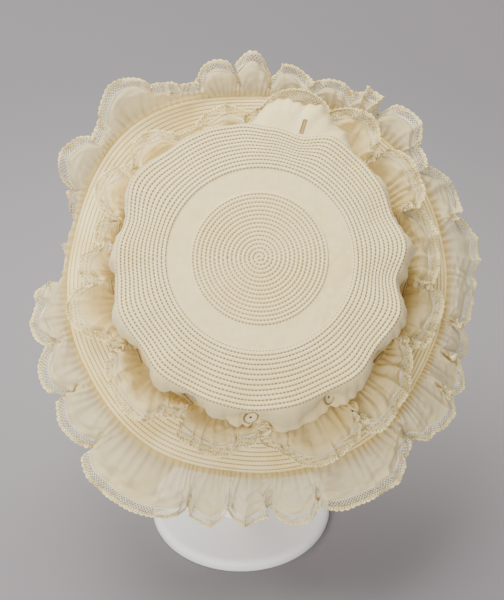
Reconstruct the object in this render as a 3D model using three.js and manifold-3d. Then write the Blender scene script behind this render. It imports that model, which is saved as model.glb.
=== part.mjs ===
// A girl's washable summer hat of about 1900 in cream cotton lawn, shown on a plain white display
// stand. A corded round crown buttons over a standing band, so that it can be taken off and laundered
// flat. The corded brim carries two gathered lawn ruffles, each edged with lace.
// Lengths are in millimetres and angles in degrees. The hat is modelled upright in its own group, with
// +Z out of the crown's tip, and the group is then tipped back towards -Y on the stand.
import * as THREE from 'three';
import { mergeVertices } from 'three/addons/utils/BufferGeometryUtils.js';
import Module from 'manifold-3d';

const wasm = await Module();
wasm.setup();

// Fit
const SEAM_GAP = 0.3; // between pieces that are sewn, buttoned or laid together
const FACET_ROOM = 0.25; // what a faceted ring's chords stray from its circle

// Band
const BAND_TOP_RADIUS = 83;
const BAND_FOOT_RADIUS = 89;
const BAND_HEIGHT = 34;
const BAND_WALL = 1.5;

// Crown
const TIP_OVERHANG = 6.5; // past the band's top, to the last cord of the flat tip
const TIP_RADIUS = BAND_TOP_RADIUS + TIP_OVERHANG;
const TIP_HEIGHT = 46; // from the band's foot to the tip's edge
const TIP_DOME = 5; // the middle of the tip stands this far above its edge
const CORD_PITCH = 2.65;
const CORD_RELIEF = 0.6;
const INNER_CORDS = 16; // the spiral in the middle
const OUTER_CORDS = 12; // the rings round the edge
const CROWN_WALL = 1.2;
const MARGIN = 24; // the plain border past the last cord, seen from above where it stands open
const MARGIN_HEM_HEIGHT = 9; // of the buttoned border's hem above the band's foot

// Buttons
const BUTTON_RADIUS = 5;
const BUTTON_THICKNESS = 1.8;
const BUTTON_SEAT = 2.15; // from the crown's cloth to the button's back, over the pull of the buttonhole
const BUTTON_TILT = 0.24; // how far the flaring border tips a button up, as a slope
const BUTTONHOLE_LENGTH = 6.5;
const BUTTONHOLE_WIDTH = 1.1;
const BUTTONHOLE_INSET = 2.5; // past the last cord

// Brim
const BRIM_RADIUS = 128;
const BRIM_DROP = 12;
const BRIM_WALL = 1.2;
const BRIM_CORDS = 9;
const BRIM_CORD_PITCH = 2.7;
const BRIM_CORD_RELIEF = 0.6;

// Ruffles
const RUFFLE_WALL = 1;
const UPPER_ROOT = 3; // from the brim's inner edge to the upper ruffle's gathering
const UPPER_WIDTH = 27;
const UPPER_LACE = 8;
const OUTER_ROOT = 3; // from the brim's edge back to the outer ruffle's gathering
const OUTER_WIDTH = 26;
const OUTER_LACE = 8;
const LACE_SEAM = 0.8; // between the lawn's hem and the lace's footing
const LOBE_SPREAD = 0.4; // how far a lobe's sides fan out over the creases beside it, 1 for upright sides
const LOBE_DEPTH = 8; // a hem that turns in by this much or more has its full spread
const PUFF_SHARE = 0.45; // how much of a short lobe's spare cloth puffs up
const PUFF_LIMIT = 6;
const ROOT_SLOPE = -0.2; // of the cloth as it leaves its gathering
const CURVE_HOLD = 0.3; // share of a strip's reach over which either end keeps its direction
const HEM_OUTWARD = 0.45; // how far a raised hem bends from its own slope to plain outward
const HANG_GAIN = 1.2; // how quickly that bend goes as the hem hangs below the brim

// Stand
const STAND_TILT = 41; // of the hat's axis from the vertical
const FOOT_RADIUS = 60.5;
const FOOT_THICKNESS = 11;
const STEM_RADIUS = 11;
const STEM_FLARE = 22;
const PAD_RADIUS = 66;
const PAD_THICKNESS = 18;
const HAT_SHIFT = 12.5; // the hat hangs this far to one side of the stem
const HAT_SET_BACK = 12;
const HAT_HEIGHT = 191; // of the band's foot above the table

// The crown's pull-ins, one a row, anticlockwise from +X. pull: where a button draws the border in.
// edge_in, edge_out: radius of the last cord at the pull and in the swell after it, as shares of
// TIP_RADIUS. swell: how far the border puffs out there, as a share of MARGIN. open_in, open_out:
// 0 where the border is buttoned down and 1 where it has come undone and stands out flat.
const CROWN_FOLDS = [
  { pull: -8, edge_in: 0.945, edge_out: 1.01, swell: 0.34, open_in: 0, open_out: 0 },
  { pull: 20, edge_in: 0.965, edge_out: 0.99, swell: 0.26, open_in: 0, open_out: 0 },
  { pull: 46, edge_in: 1, edge_out: 1.01, swell: 0.3, open_in: 0, open_out: 0.35 },
  { pull: 72, edge_in: 0.92, edge_out: 0.945, swell: 0.3, open_in: 0.9, open_out: 0.75 },
  { pull: 99, edge_in: 0.985, edge_out: 1, swell: 0.28, open_in: 0, open_out: 0 },
  { pull: 128, edge_in: 1.01, edge_out: 1.05, swell: 0.28, open_in: 0, open_out: 0 },
  { pull: 164, edge_in: 0.965, edge_out: 0.985, swell: 0.24, open_in: 0, open_out: 0 },
  { pull: 187, edge_in: 0.985, edge_out: 1.03, swell: 0.38, open_in: 0, open_out: 0 },
  { pull: 217, edge_in: 1.01, edge_out: 1.045, swell: 0.42, open_in: 0, open_out: 0 },
  { pull: 242, edge_in: 1.03, edge_out: 1.04, swell: 0.36, open_in: 0, open_out: 0 },
  { pull: 265.5, edge_in: 1.045, edge_out: 1.04, swell: 0.5, open_in: 0, open_out: 0 },
  { pull: 296, edge_in: 1.02, edge_out: 1.04, swell: 0.4, open_in: 0, open_out: 0 },
  { pull: 323, edge_in: 1, edge_out: 1.03, swell: 0.34, open_in: 0, open_out: 0 },
];
const OPEN_PULL = 3; // the row whose button has come undone

// The brim's waves, anticlockwise from +X. edge: a share of BRIM_RADIUS. rise: a share of BRIM_DROP.
const BRIM_WAVES = [
  { at: 5, edge: 0.96, rise: -0.1 },
  { at: 47, edge: 0.985, rise: 0.3 },
  { at: 90, edge: 0.975, rise: 0.2 },
  { at: 130, edge: 1.04, rise: 0.8 },
  { at: 168, edge: 0.985, rise: -0.1 },
  { at: 205, edge: 1.0, rise: 0.35 },
  { at: 237, edge: 1.03, rise: 0.1 },
  { at: 264, edge: 0.995, rise: -0.35 },
  { at: 298, edge: 1.0, rise: 0.2 },
  { at: 335, edge: 0.95, rise: -0.2 },
];

// The turning points of the ruffles' hems, one a row, anticlockwise from +X. reach: from the gathering,
// as a share of the strip's width. lift: height over the brim, as a share of that width. lean: degrees
// that the hem falls sideways there.
const UPPER_HEM = [
  { at: 3, reach: 0.54, lift: 0.25, lean: 0 },
  { at: 13, reach: 0.61, lift: 0.3, lean: 0 },
  { at: 23, reach: 0.26, lift: 0.42, lean: 1 },
  { at: 29, reach: 0.76, lift: 0.3, lean: 0 },
  { at: 38, reach: 0.87, lift: 0.35, lean: 0 },
  { at: 48, reach: 0.25, lift: 0.45, lean: -2 },
  { at: 56, reach: 0.98, lift: 0.5, lean: 0 },
  { at: 66, reach: 0.42, lift: 0.7, lean: 0 },
  { at: 77, reach: 0.79, lift: 0.8, lean: 0 },
  { at: 89, reach: 0.31, lift: 0.5, lean: 0 },
  { at: 95, reach: 0.2, lift: 0.3, lean: 0 },
  { at: 103, reach: 0.54, lift: 0.25, lean: 0 },
  { at: 112, reach: 0.13, lift: 0.35, lean: 0 },
  { at: 121, reach: 0.2, lift: 0.2, lean: 0 },
  { at: 131, reach: 0.65, lift: 0.5, lean: 0 },
  { at: 140, reach: 0.2, lift: 0.5, lean: 0 },
  { at: 148, reach: 0.76, lift: 0.4, lean: 1 },
  { at: 158, reach: 0.13, lift: 0.45, lean: 1 },
  { at: 165, reach: 0.31, lift: 0.4, lean: 0 },
  { at: 171, reach: 0.13, lift: 0.5, lean: 0 },
  { at: 177, reach: 0.57, lift: 0.35, lean: 0 },
  { at: 183, reach: 0.24, lift: 0.6, lean: 1.5 },
  { at: 191, reach: 0.91, lift: 0.4, lean: 0 },
  { at: 202, reach: 0.35, lift: 0.4, lean: 0 },
  { at: 209, reach: 0.05, lift: 0.25, lean: 0 },
  { at: 216, reach: 0.65, lift: 0.5, lean: 0 },
  { at: 225, reach: 0.87, lift: 0.6, lean: 2 },
  { at: 235, reach: 0.39, lift: 0.3, lean: 0 },
  { at: 240, reach: 0.24, lift: 0.45, lean: 2 },
  { at: 247, reach: 0.65, lift: 0.3, lean: 0 },
  { at: 255, reach: 0.72, lift: 0.22, lean: 0 },
  { at: 263, reach: 0.42, lift: 0.3, lean: 0 },
  { at: 271.5, reach: 0.13, lift: 0.5, lean: 0 },
  { at: 279, reach: 0.65, lift: 0.3, lean: 0 },
  { at: 289, reach: 1.02, lift: 0.25, lean: 0 },
  { at: 298, reach: 0.87, lift: 0.3, lean: 0 },
  { at: 303, reach: 0.45, lift: 0.42, lean: 1 },
  { at: 308, reach: 0.94, lift: 0.35, lean: 0 },
  { at: 317, reach: 0.79, lift: 0.3, lean: 0 },
  { at: 326, reach: 0.5, lift: 0.3, lean: 0 },
  { at: 333, reach: 0.13, lift: 0.5, lean: 0 },
  { at: 341, reach: 0.61, lift: 0.35, lean: 0 },
  { at: 350, reach: 0.68, lift: 0.3, lean: 0 },
  { at: 358, reach: 0.24, lift: 0.5, lean: -3 },
];
const OUTER_HEM = [
  { at: 2, reach: 0.58, lift: -0.3, lean: 0 },
  { at: 11, reach: 0.73, lift: -0.25, lean: 0 },
  { at: 18, reach: 0.25, lift: 0.1, lean: 3 },
  { at: 26, reach: 0.6, lift: -0.3, lean: 0 },
  { at: 34, reach: 0.05, lift: 0.1, lean: 0 },
  { at: 41, reach: 0.2, lift: 0.1, lean: 0 },
  { at: 48, reach: 0.73, lift: 0.1, lean: 0 },
  { at: 55, reach: 0.27, lift: -0.2, lean: 0 },
  { at: 59, reach: 0.62, lift: 0.15, lean: 0 },
  { at: 63, reach: 0.28, lift: 0, lean: 0 },
  { at: 68, reach: 0.44, lift: 0.1, lean: 0 },
  { at: 75, reach: 0.07, lift: 0.15, lean: 0 },
  { at: 82, reach: 0.58, lift: 0.1, lean: 0 },
  { at: 87, reach: 0.24, lift: -0.2, lean: 0 },
  { at: 92, reach: 0.81, lift: 0.25, lean: 0 },
  { at: 96, reach: 0.33, lift: -0.1, lean: 0 },
  { at: 101, reach: 0.64, lift: 0.25, lean: 0 },
  { at: 107, reach: 0.1, lift: 0.15, lean: 0 },
  { at: 113, reach: 0.08, lift: 0.3, lean: 0 },
  { at: 120, reach: 0.24, lift: 0.4, lean: 0 },
  { at: 128, reach: 0.69, lift: 0.45, lean: 0 },
  { at: 134, reach: 0.35, lift: -0.1, lean: 0 },
  { at: 140, reach: 0.2, lift: 0.1, lean: 0 },
  { at: 147, reach: 0.72, lift: 0.1, lean: 0 },
  { at: 153, reach: 0.25, lift: -0.2, lean: 0 },
  { at: 160, reach: 0.3, lift: -0.5, lean: 0 },
  { at: 170, reach: 0.32, lift: -0.52, lean: 0 },
  { at: 179, reach: 0.3, lift: -0.5, lean: 0 },
  { at: 185, reach: 0.58, lift: -0.2, lean: 0 },
  { at: 192, reach: 0.71, lift: -0.15, lean: 0 },
  { at: 198, reach: 0.31, lift: 0.05, lean: 1.5 },
  { at: 206, reach: 0.85, lift: -0.15, lean: 0 },
  { at: 211, reach: 0.45, lift: -0.3, lean: 0 },
  { at: 218, reach: 0.95, lift: -0.1, lean: 0 },
  { at: 225, reach: 0.67, lift: -0.25, lean: 0 },
  { at: 231, reach: 1.25, lift: 0.1, lean: 0 },
  { at: 240, reach: 1.28, lift: 0.15, lean: 0 },
  { at: 248, reach: 1.15, lift: 0.2, lean: 0 },
  { at: 252, reach: 0.68, lift: -0.3, lean: 0 },
  { at: 257, reach: 1.07, lift: -0.25, lean: 0 },
  { at: 262, reach: 0.56, lift: 0, lean: 0 },
  { at: 267, reach: 0.95, lift: -0.15, lean: 0 },
  { at: 273, reach: 0.48, lift: -0.4, lean: 0 },
  { at: 279, reach: 1.01, lift: -0.1, lean: 0 },
  { at: 285, reach: 0.58, lift: -0.3, lean: -1.5 },
  { at: 292, reach: 0.96, lift: -0.1, lean: 0 },
  { at: 301, reach: 0.97, lift: -0.05, lean: 0 },
  { at: 309, reach: 0.67, lift: -0.1, lean: 0 },
  { at: 313, reach: 0.32, lift: -0.3, lean: 1.5 },
  { at: 319, reach: 0.8, lift: -0.2, lean: 0 },
  { at: 325, reach: 0.97, lift: -0.2, lean: 0 },
  { at: 329, reach: 0.6, lift: 0, lean: 0 },
  { at: 333, reach: 0.86, lift: -0.2, lean: 0 },
  { at: 338, reach: 0.36, lift: 0, lean: 3 },
  { at: 343, reach: 0.62, lift: -0.35, lean: 0 },
  { at: 347, reach: 0.23, lift: 0.1, lean: 0 },
  { at: 354, reach: 0.52, lift: -0.3, lean: 0 },
];

const TURN = 360;
const CROWN_STEPS = 4; // columns from one pull to the next
const BRIM_COLUMNS = 39;
const HEM_STEPS = 2; // columns from one turning point of a hem to the next
const rad = THREE.MathUtils.degToRad;
const mix = THREE.MathUtils.lerp;
const ease = (share) => THREE.MathUtils.smoothstep(share, 0, 1);

// A point given by its distance from the axis, its angle round it and its height.
function polar(radius, degrees, height) {
  return new THREE.Vector3(radius * Math.cos(rad(degrees)), radius * Math.sin(rad(degrees)), height);
}

// Reads a column of a table round the circle, easing from each row to the next.
function readRound(rows, column, degrees) {
  const count = rows.length;
  for (let i = 0; i < count; i++) {
    const row = rows[i];
    const next = rows[(i + 1) % count];
    const span = (next.at - row.at + TURN) % TURN;
    const along = (((degrees - row.at) % TURN) + TURN) % TURN;
    if (along <= span) return mix(row[column], next[column], ease(along / span));
  }
  return rows[0][column];
}

// Joins rings of points into one closed skin. A ring may have as many points as the one before it,
// or twice or half as many, and a ring of one point is a pole. A loop joins its last ring to its first.
// From the ring numbered under, faces are split along their other diagonal, so that a twisted wall's
// two sides bend alike.
function skinOfRings(rings, loop, under) {
  const points = [];
  const faces = [];
  const starts = rings.map((ring) => {
    const start = points.length;
    points.push(...ring);
    return start;
  });
  const last = loop ? rings.length : rings.length - 1;
  for (let i = 0; i < last; i++) {
    const j = (i + 1) % rings.length;
    const [a, b] = [rings[i].length, rings[j].length];
    const many = Math.max(a, b);
    for (let k = 0; k < many; k++) {
      const a0 = starts[i] + Math.floor((k * a) / many);
      const a1 = starts[i] + (Math.floor(((k + 1) * a) / many) % a);
      const b0 = starts[j] + Math.floor((k * b) / many);
      const b1 = starts[j] + (Math.floor(((k + 1) * b) / many) % b);
      const whole = a0 !== a1 && b0 !== b1;
      if (whole && i >= under) faces.push([a0, b0, a1], [a1, b0, b1]);
      else if (whole) faces.push([a0, b1, a1], [a0, b0, b1]);
      else faces.push(a0 !== a1 ? [a0, b1, a1] : [a0, b0, b1]);
    }
  }
  const geometry = new THREE.BufferGeometry().setFromPoints(points);
  geometry.setIndex(faces.flat());
  return geometry;
}

// Points of a sheet moved off its middle surface, along the surface's normal over the given steps.
function offSheet(surface, u, v, distance, stepU = 1e-3, stepV = 1e-3) {
  const along = surface(u + stepU, v).sub(surface(u - stepU, v));
  const across = surface(u, v + stepV).sub(surface(u, Math.max(v - stepV, 0)));
  const normal = across.cross(along).normalize();
  if (normal.lengthSq() < 0.5) normal.set(0, 0, 1);
  return surface(u, v).addScaledVector(normal, distance);
}

function toSolid(geometry, matrix = new THREE.Matrix4()) {
  const bare = geometry.clone().applyMatrix4(matrix);
  bare.deleteAttribute('normal');
  bare.deleteAttribute('uv');
  const merged = mergeVertices(bare, 1e-4);
  return new wasm.Manifold(
    new wasm.Mesh({
      numProp: 3,
      vertProperties: new Float32Array(merged.attributes.position.array),
      triVerts: new Uint32Array(merged.index.array),
    }),
  );
}

function fromSolid(solid) {
  const { vertProperties, triVerts } = solid.getMesh();
  const geometry = new THREE.BufferGeometry();
  geometry.setAttribute('position', new THREE.BufferAttribute(vertProperties, 3));
  geometry.setIndex(new THREE.BufferAttribute(triVerts, 1));
  return geometry;
}

function piece(name, geometry, material) {
  geometry.computeVertexNormals();
  const mesh = new THREE.Mesh(geometry, material);
  mesh.name = name;
  return mesh;
}

const lawn = new THREE.MeshStandardMaterial({ color: 0xe6dcc8, roughness: 0.9, metalness: 0 });
const agedLawn = new THREE.MeshStandardMaterial({ color: 0xe0cfac, roughness: 0.9, metalness: 0 });
const lace = new THREE.MeshStandardMaterial({ color: 0xe2d2ac, roughness: 0.95, metalness: 0 });
const linen = new THREE.MeshStandardMaterial({ color: 0xd8c9a8, roughness: 0.85, metalness: 0 });
const whitePaint = new THREE.MeshStandardMaterial({ color: 0xe4e2de, roughness: 0.45, metalness: 0 });

// Band

function bandRadius(height) {
  return mix(BAND_FOOT_RADIUS, BAND_TOP_RADIUS, height / BAND_HEIGHT);
}

function makeBand() {
  const columns = 26;
  const foot = SEAM_GAP;
  const ring = (inset, height) =>
    Array.from({ length: columns }, (_, k) => {
      return polar(bandRadius(height) - inset, (k * TURN) / columns, height);
    });
  const rings = [
    ring(0, BAND_HEIGHT),
    ring(0, foot),
    ring(BAND_WALL, foot),
    ring(BAND_WALL, BAND_HEIGHT),
  ];
  return piece('crown_band', skinOfRings(rings, true, 2), lawn);
}

// Crown

// Where a column stands between two pulls: its angle, and the folds' values there.
function crownColumn(position) {
  const count = CROWN_FOLDS.length;
  const turns = Math.floor(position / count);
  const local = position - turns * count;
  const i = Math.floor(local) % count;
  const share = local - Math.floor(local);
  const row = CROWN_FOLDS[i];
  const next = CROWN_FOLDS[(i + 1) % count];
  const span = (next.pull - row.pull + TURN) % TURN;
  const fromRow = share < 0.5;
  const swell = ease(1 - Math.abs(2 * share - 1));
  const ends = fromRow ? row : next;
  return {
    degrees: row.pull + span * share + turns * TURN,
    edge: mix(ends.edge_in, row.edge_out, swell) * TIP_RADIUS,
    swell: mix(0, row.swell, swell) * MARGIN,
    open: mix(ends.open_in, row.open_out, swell ** 2),
    full: swell,
  };
}

function tipHeight(radius) {
  return TIP_HEIGHT + TIP_DOME * (1 - (radius / TIP_RADIUS) ** 2);
}

const PLAIN_START = INNER_CORDS * CORD_PITCH;
const PLAIN_END = TIP_RADIUS - OUTER_CORDS * CORD_PITCH;
const EDGE_SAG = 1.8; // the tip's edge dips by this much at a pull
const EDGE_ROUND = 2.5; // the buttoned border swings out past the last cord before it turns down
const EDGE_FALL = 4;
const HEM_UPRIGHT = 13; // of the buttoned border that comes down nearly straight to its hem

// The crown's middle surface. Column runs from pull to pull. Reach is the flat radius on the tip, and
// past the last cord it is TIP_RADIUS plus the share of the border that has been passed.
function crownPoint(column, reach) {
  const here = crownColumn(column);
  const flat = Math.min(reach, TIP_RADIUS);
  const wave = ease((flat - PLAIN_END) / (TIP_RADIUS - PLAIN_END));
  const radius = mix(flat, (flat / TIP_RADIUS) * here.edge, wave);
  const sag = EDGE_SAG * wave * (1 - here.full) * (1 - here.open);
  const height = tipHeight(flat) - sag;
  if (reach <= TIP_RADIUS) return polar(radius, here.degrees, height);

  const past = reach - TIP_RADIUS;
  const shut = 1 - here.open;
  const third = 0.3 * MARGIN;
  const footHeight = MARGIN_HEM_HEIGHT - 0.5 * here.full;
  const hold = bandRadius(footHeight) + SEAM_GAP + FACET_ROOM + CROWN_WALL / 2;
  const foot = [
    mix(radius + MARGIN, hold + 0.75 * here.swell, shut),
    mix(height + 1, footHeight, shut),
  ];
  const leave = [
    radius + mix(third, EDGE_ROUND + 0.3 * here.swell, shut),
    height - mix(0.6, EDGE_FALL, shut),
  ];
  const arrive = [
    mix(foot[0] - third, foot[0] + 0.5 + 0.35 * here.swell, shut),
    mix(height + 2, foot[1] + HEM_UPRIGHT, shut),
  ];
  const bend = (axis, start) => {
    const back = 1 - past;
    return (
      back ** 3 * start +
      3 * back ** 2 * past * leave[axis] +
      3 * back * past ** 2 * arrive[axis] +
      past ** 3 * foot[axis]
    );
  };
  return polar(bend(0, radius), here.degrees, bend(1, height));
}

function crownRing(reach, offset, count) {
  const folds = CROWN_FOLDS.length;
  return Array.from({ length: count }, (_, k) => offSheet(crownPoint, (k * folds) / count, reach, offset));
}

function makeCrown() {
  const fine = CROWN_FOLDS.length * CROWN_STEPS;
  const columnsAt = (reach) => (reach > PLAIN_START ? fine : reach > PLAIN_START / 2 ? fine / 2 : fine / 4);
  const top = CROWN_WALL / 2;
  const border = [0.15, 0.35, 0.55, 0.8, 1];
  const rings = [[new THREE.Vector3(0, 0, tipHeight(0) + top)]];
  const addCord = (groove) => {
    rings.push(crownRing(groove + CORD_PITCH / 2, top + CORD_RELIEF, columnsAt(groove + CORD_PITCH / 2)));
    rings.push(crownRing(groove + CORD_PITCH, top, columnsAt(groove + CORD_PITCH)));
  };
  for (let i = 0; i < INNER_CORDS; i++) addCord(i * CORD_PITCH);
  rings.push(crownRing(PLAIN_END, top, fine));
  for (let i = 0; i < OUTER_CORDS; i++) addCord(PLAIN_END + i * CORD_PITCH);
  for (const share of border) rings.push(crownRing(TIP_RADIUS + share, top, fine));
  const under = rings.length;
  for (const share of border.toReversed()) rings.push(crownRing(TIP_RADIUS + share, -top, fine));
  for (const reach of [TIP_RADIUS, (PLAIN_END + TIP_RADIUS) / 2, PLAIN_END]) {
    rings.push(crownRing(reach, -top, fine));
  }
  rings.push(crownRing(PLAIN_START, -top, fine / 2));
  rings.push([new THREE.Vector3(0, 0, tipHeight(0) - top)]);
  const skin = toSolid(skinOfRings(rings, false, under));
  return piece('corded_crown', fromSolid(skin.subtract(buttonhole())), lawn);
}

// The slit in the crown's border at the pull that has come undone. It runs out from the middle.
function buttonhole() {
  const through = 8 * CROWN_WALL;
  const { degrees, edge } = crownColumn(OPEN_PULL);
  const slit = new THREE.BoxGeometry(BUTTONHOLE_LENGTH, BUTTONHOLE_WIDTH, through);
  const centre = polar(edge + BUTTONHOLE_INSET + BUTTONHOLE_LENGTH / 2, degrees, TIP_HEIGHT);
  const turned = new THREE.Quaternion().setFromAxisAngle(new THREE.Vector3(0, 0, 1), rad(degrees));
  return toSolid(slit, new THREE.Matrix4().compose(centre, turned, new THREE.Vector3(1, 1, 1)));
}

// Buttons: flat rings covered in linen, one on each pull, lying on the border's slope.

function makeButton(i) {
  const rim = 0.8 * BUTTON_RADIUS;
  const profile = [
    [0, 0],
    [BUTTON_RADIUS, 0],
    [BUTTON_RADIUS, 0.6 * BUTTON_THICKNESS],
    [rim, BUTTON_THICKNESS],
    [0, 0.6 * BUTTON_THICKNESS],
  ].map(([x, y]) => new THREE.Vector2(x, y));
  const disc = new THREE.LatheGeometry(profile, 8).rotateX(Math.PI / 2);
  const mesh = piece(`button_${String(i + 1).padStart(2, '0')}`, disc, linen);
  const share = 0.74; // of the way down the border
  const seat = CROWN_WALL / 2 + BUTTON_SEAT;
  const undone = i === OPEN_PULL;
  const { degrees } = crownColumn(i);
  const bandHeight = BAND_HEIGHT / 2;
  const place = undone
    ? polar(bandRadius(bandHeight) + SEAM_GAP + FACET_ROOM, degrees, bandHeight)
    : offSheet(crownPoint, i, TIP_RADIUS + share, seat);
  const slope = Math.atan2(BAND_FOOT_RADIUS - BAND_TOP_RADIUS, BAND_HEIGHT);
  const behind = undone
    ? place.clone().sub(polar(Math.cos(slope), degrees, Math.sin(slope)))
    : offSheet(crownPoint, i, TIP_RADIUS + share, 0);
  if (!undone) behind.z -= BUTTON_TILT * place.distanceTo(behind);
  mesh.position.copy(place);
  mesh.quaternion.setFromUnitVectors(new THREE.Vector3(0, 0, 1), place.clone().sub(behind).normalize());
  return mesh;
}

// Brim

const BRIM_INNER = BAND_FOOT_RADIUS + SEAM_GAP + FACET_ROOM;

function brimEdge(degrees) {
  return BRIM_RADIUS * readRound(BRIM_WAVES, 'edge', degrees);
}

// Height of the brim's middle surface. The share runs from the band at 0 to the edge at 1.
function brimHeight(degrees, share) {
  return BRIM_DROP * (readRound(BRIM_WAVES, 'rise', degrees) * share ** 2 - share);
}

function brimPoint(column, share) {
  const degrees = (column * TURN) / BRIM_COLUMNS;
  const radius = mix(BRIM_INNER, brimEdge(degrees), share);
  return polar(radius, degrees, brimHeight(degrees, share));
}

function makeBrim() {
  const top = BRIM_WALL / 2;
  const width = BRIM_RADIUS - BRIM_INNER;
  const ring = (share, offset) =>
    Array.from({ length: BRIM_COLUMNS }, (_, k) => offSheet(brimPoint, k, share, offset));
  const rings = [ring(0, -top), ring(0, top)];
  for (let i = BRIM_CORDS; i > 0; i--) {
    const groove = 1 - (i * BRIM_CORD_PITCH) / width;
    rings.push(ring(groove, top));
    rings.push(ring(groove + BRIM_CORD_PITCH / 2 / width, top + BRIM_CORD_RELIEF));
  }
  rings.push(ring(1, top), ring(1, -top), ring(0.5, -top));
  return piece('brim', skinOfRings(rings, true, rings.length - 2), agedLawn);
}

// Ruffles

// The middle surface of a gathered ruffle. Position counts the hem's turning points. Out is the distance
// from the gathering as a share of the lawn's width, so the lace lies past 1. Between two turning points
// the hem runs ahead of its place by a sine, so that lobes are broad and creases narrow. Across the strip
// a cubic curve leaves the gathering along the brim, and spare cloth puffs up near the hem.
function rufflePoint(ruffle, position, out) {
  const { hem, width, sunk, rootAt } = ruffle;
  const count = hem.length;
  const turns = Math.floor(position / count);
  const local = position - turns * count;
  const i = Math.floor(local) % count;
  const share = local - Math.floor(local);
  const row = hem[i];
  const next = hem[(i + 1) % count];
  const span = (next.at - row.at + TURN) % TURN;
  const read = (column) => mix(row[column], next[column], ease(share));
  const rootDegrees = row.at + span * share + turns * TURN;
  const inward = THREE.MathUtils.clamp(((row.reach - next.reach) * width) / LOBE_DEPTH, -1, 1);
  const swing = ((LOBE_SPREAD * span) / Math.PI) * Math.sin(Math.PI * share) * inward;
  const hemDegrees = rootDegrees + swing + read('lean') * ease(2 * read('lift'));
  const edge = brimEdge(rootDegrees);
  const onBrim = (radius) => (radius - BRIM_INNER) / (edge - BRIM_INNER);
  const laidAt = (radius) => brimHeight(rootDegrees, onBrim(radius)) + LAID_ON_BRIM;
  const root = rootAt(edge);
  const reach = root + read('reach') * width;
  const start = polar(root, rootDegrees, laidAt(root) - sunk);
  const end = polar(reach, hemDegrees, laidAt(reach) + read('lift') * width);
  const outward = polar(1, rootDegrees, ROOT_SLOPE);
  const facing = end.clone().sub(start).normalize();
  const hanging = THREE.MathUtils.clamp(-HANG_GAIN * read('lift'), 0, 1);
  const arrive = facing.lerp(outward, HEM_OUTWARD * (1 - hanging)).normalize();
  const direct = end.distanceTo(start);
  const leave = start.clone().addScaledVector(outward, CURVE_HOLD * direct);
  const beforeHem = end.clone().addScaledVector(arrive, -CURVE_HOLD * direct);
  const t = Math.min(out, 1);
  const spare = THREE.MathUtils.clamp(width / direct - 1, 0, 1);
  const puff = Math.min(PUFF_SHARE * direct * Math.sqrt(spare), PUFF_LIMIT);
  const point = new THREE.CubicBezierCurve3(start, leave, beforeHem, end).getPoint(t);
  point.z += (puff * (t ** 2 * (1 - t)) * 27) / 4;
  return point.addScaledVector(arrive, width * Math.max(out - 1, 0));
}

const LAID_ON_BRIM = BRIM_WALL / 2 + BRIM_CORD_RELIEF + SEAM_GAP + FACET_ROOM + RUFFLE_WALL / 2;

// sunk: how far the gathering lies below the tops of the brim's cords
const upperRuffle = {
  hem: UPPER_HEM,
  width: UPPER_WIDTH,
  sunk: BRIM_CORD_RELIEF,
  rootAt: () => BRIM_INNER + UPPER_ROOT,
};
const outerRuffle = { hem: OUTER_HEM, width: OUTER_WIDTH, sunk: 0, rootAt: (edge) => edge - OUTER_ROOT };

function makeRuffleStrip(name, ruffle, shares, material) {
  const columns = ruffle.hem.length * HEM_STEPS;
  const surface = (position, out) => rufflePoint(ruffle, position, out);
  const step = 1 / HEM_STEPS;
  const ring = (out, offset) =>
    Array.from({ length: columns }, (_, k) => offSheet(surface, k * step, out, offset, step, 0.2));
  const rings = [
    ...shares.map((out) => ring(out, RUFFLE_WALL / 2)),
    ...shares.toReversed().map((out) => ring(out, -RUFFLE_WALL / 2)),
  ];
  return piece(name, skinOfRings(rings, true, shares.length), material);
}

function makeRuffle(name, ruffle, laceWidth) {
  const seam = 1 + LACE_SEAM / ruffle.width;
  const hem = 1 + laceWidth / ruffle.width;
  return [
    makeRuffleStrip(name, ruffle, [0, 0.35, 1], lawn),
    makeRuffleStrip(`${name}_lace`, ruffle, [seam, hem], lace),
  ];
}

// Stand

function lathe(points, sides) {
  const profile = points.map(([x, y]) => new THREE.Vector2(x, y));
  return new THREE.LatheGeometry(profile, sides).rotateX(Math.PI / 2);
}

function makeFoot() {
  const profile = [
    [0, 0],
    [FOOT_RADIUS, 0],
    [FOOT_RADIUS, 0.45 * FOOT_THICKNESS],
    [FOOT_RADIUS - 4, 0.75 * FOOT_THICKNESS],
    [STEM_FLARE, FOOT_THICKNESS],
    [0, FOOT_THICKNESS],
  ];
  return piece('stand_foot', lathe(profile, 32), whitePaint);
}

const padBottom = TIP_HEIGHT - CROWN_WALL - SEAM_GAP - PAD_THICKNESS;

// The round pad fills the crown's tip from inside, so its top follows the tip's dome.
function makePad() {
  const under = (radius) => tipHeight(radius) - CROWN_WALL / 2 - SEAM_GAP - 2 * FACET_ROOM;
  const edge = PAD_RADIUS - 5;
  const profile = [
    [0, padBottom],
    [edge, padBottom],
    [PAD_RADIUS, padBottom + 4],
    [PAD_RADIUS, under(PAD_RADIUS) - 4],
    [edge, under(edge) - 0.4],
    [0.5 * PAD_RADIUS, under(0.5 * PAD_RADIUS) - 0.2],
    [0, under(0)],
  ];
  return piece('stand_pad', lathe(profile, 24), whitePaint);
}

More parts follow.
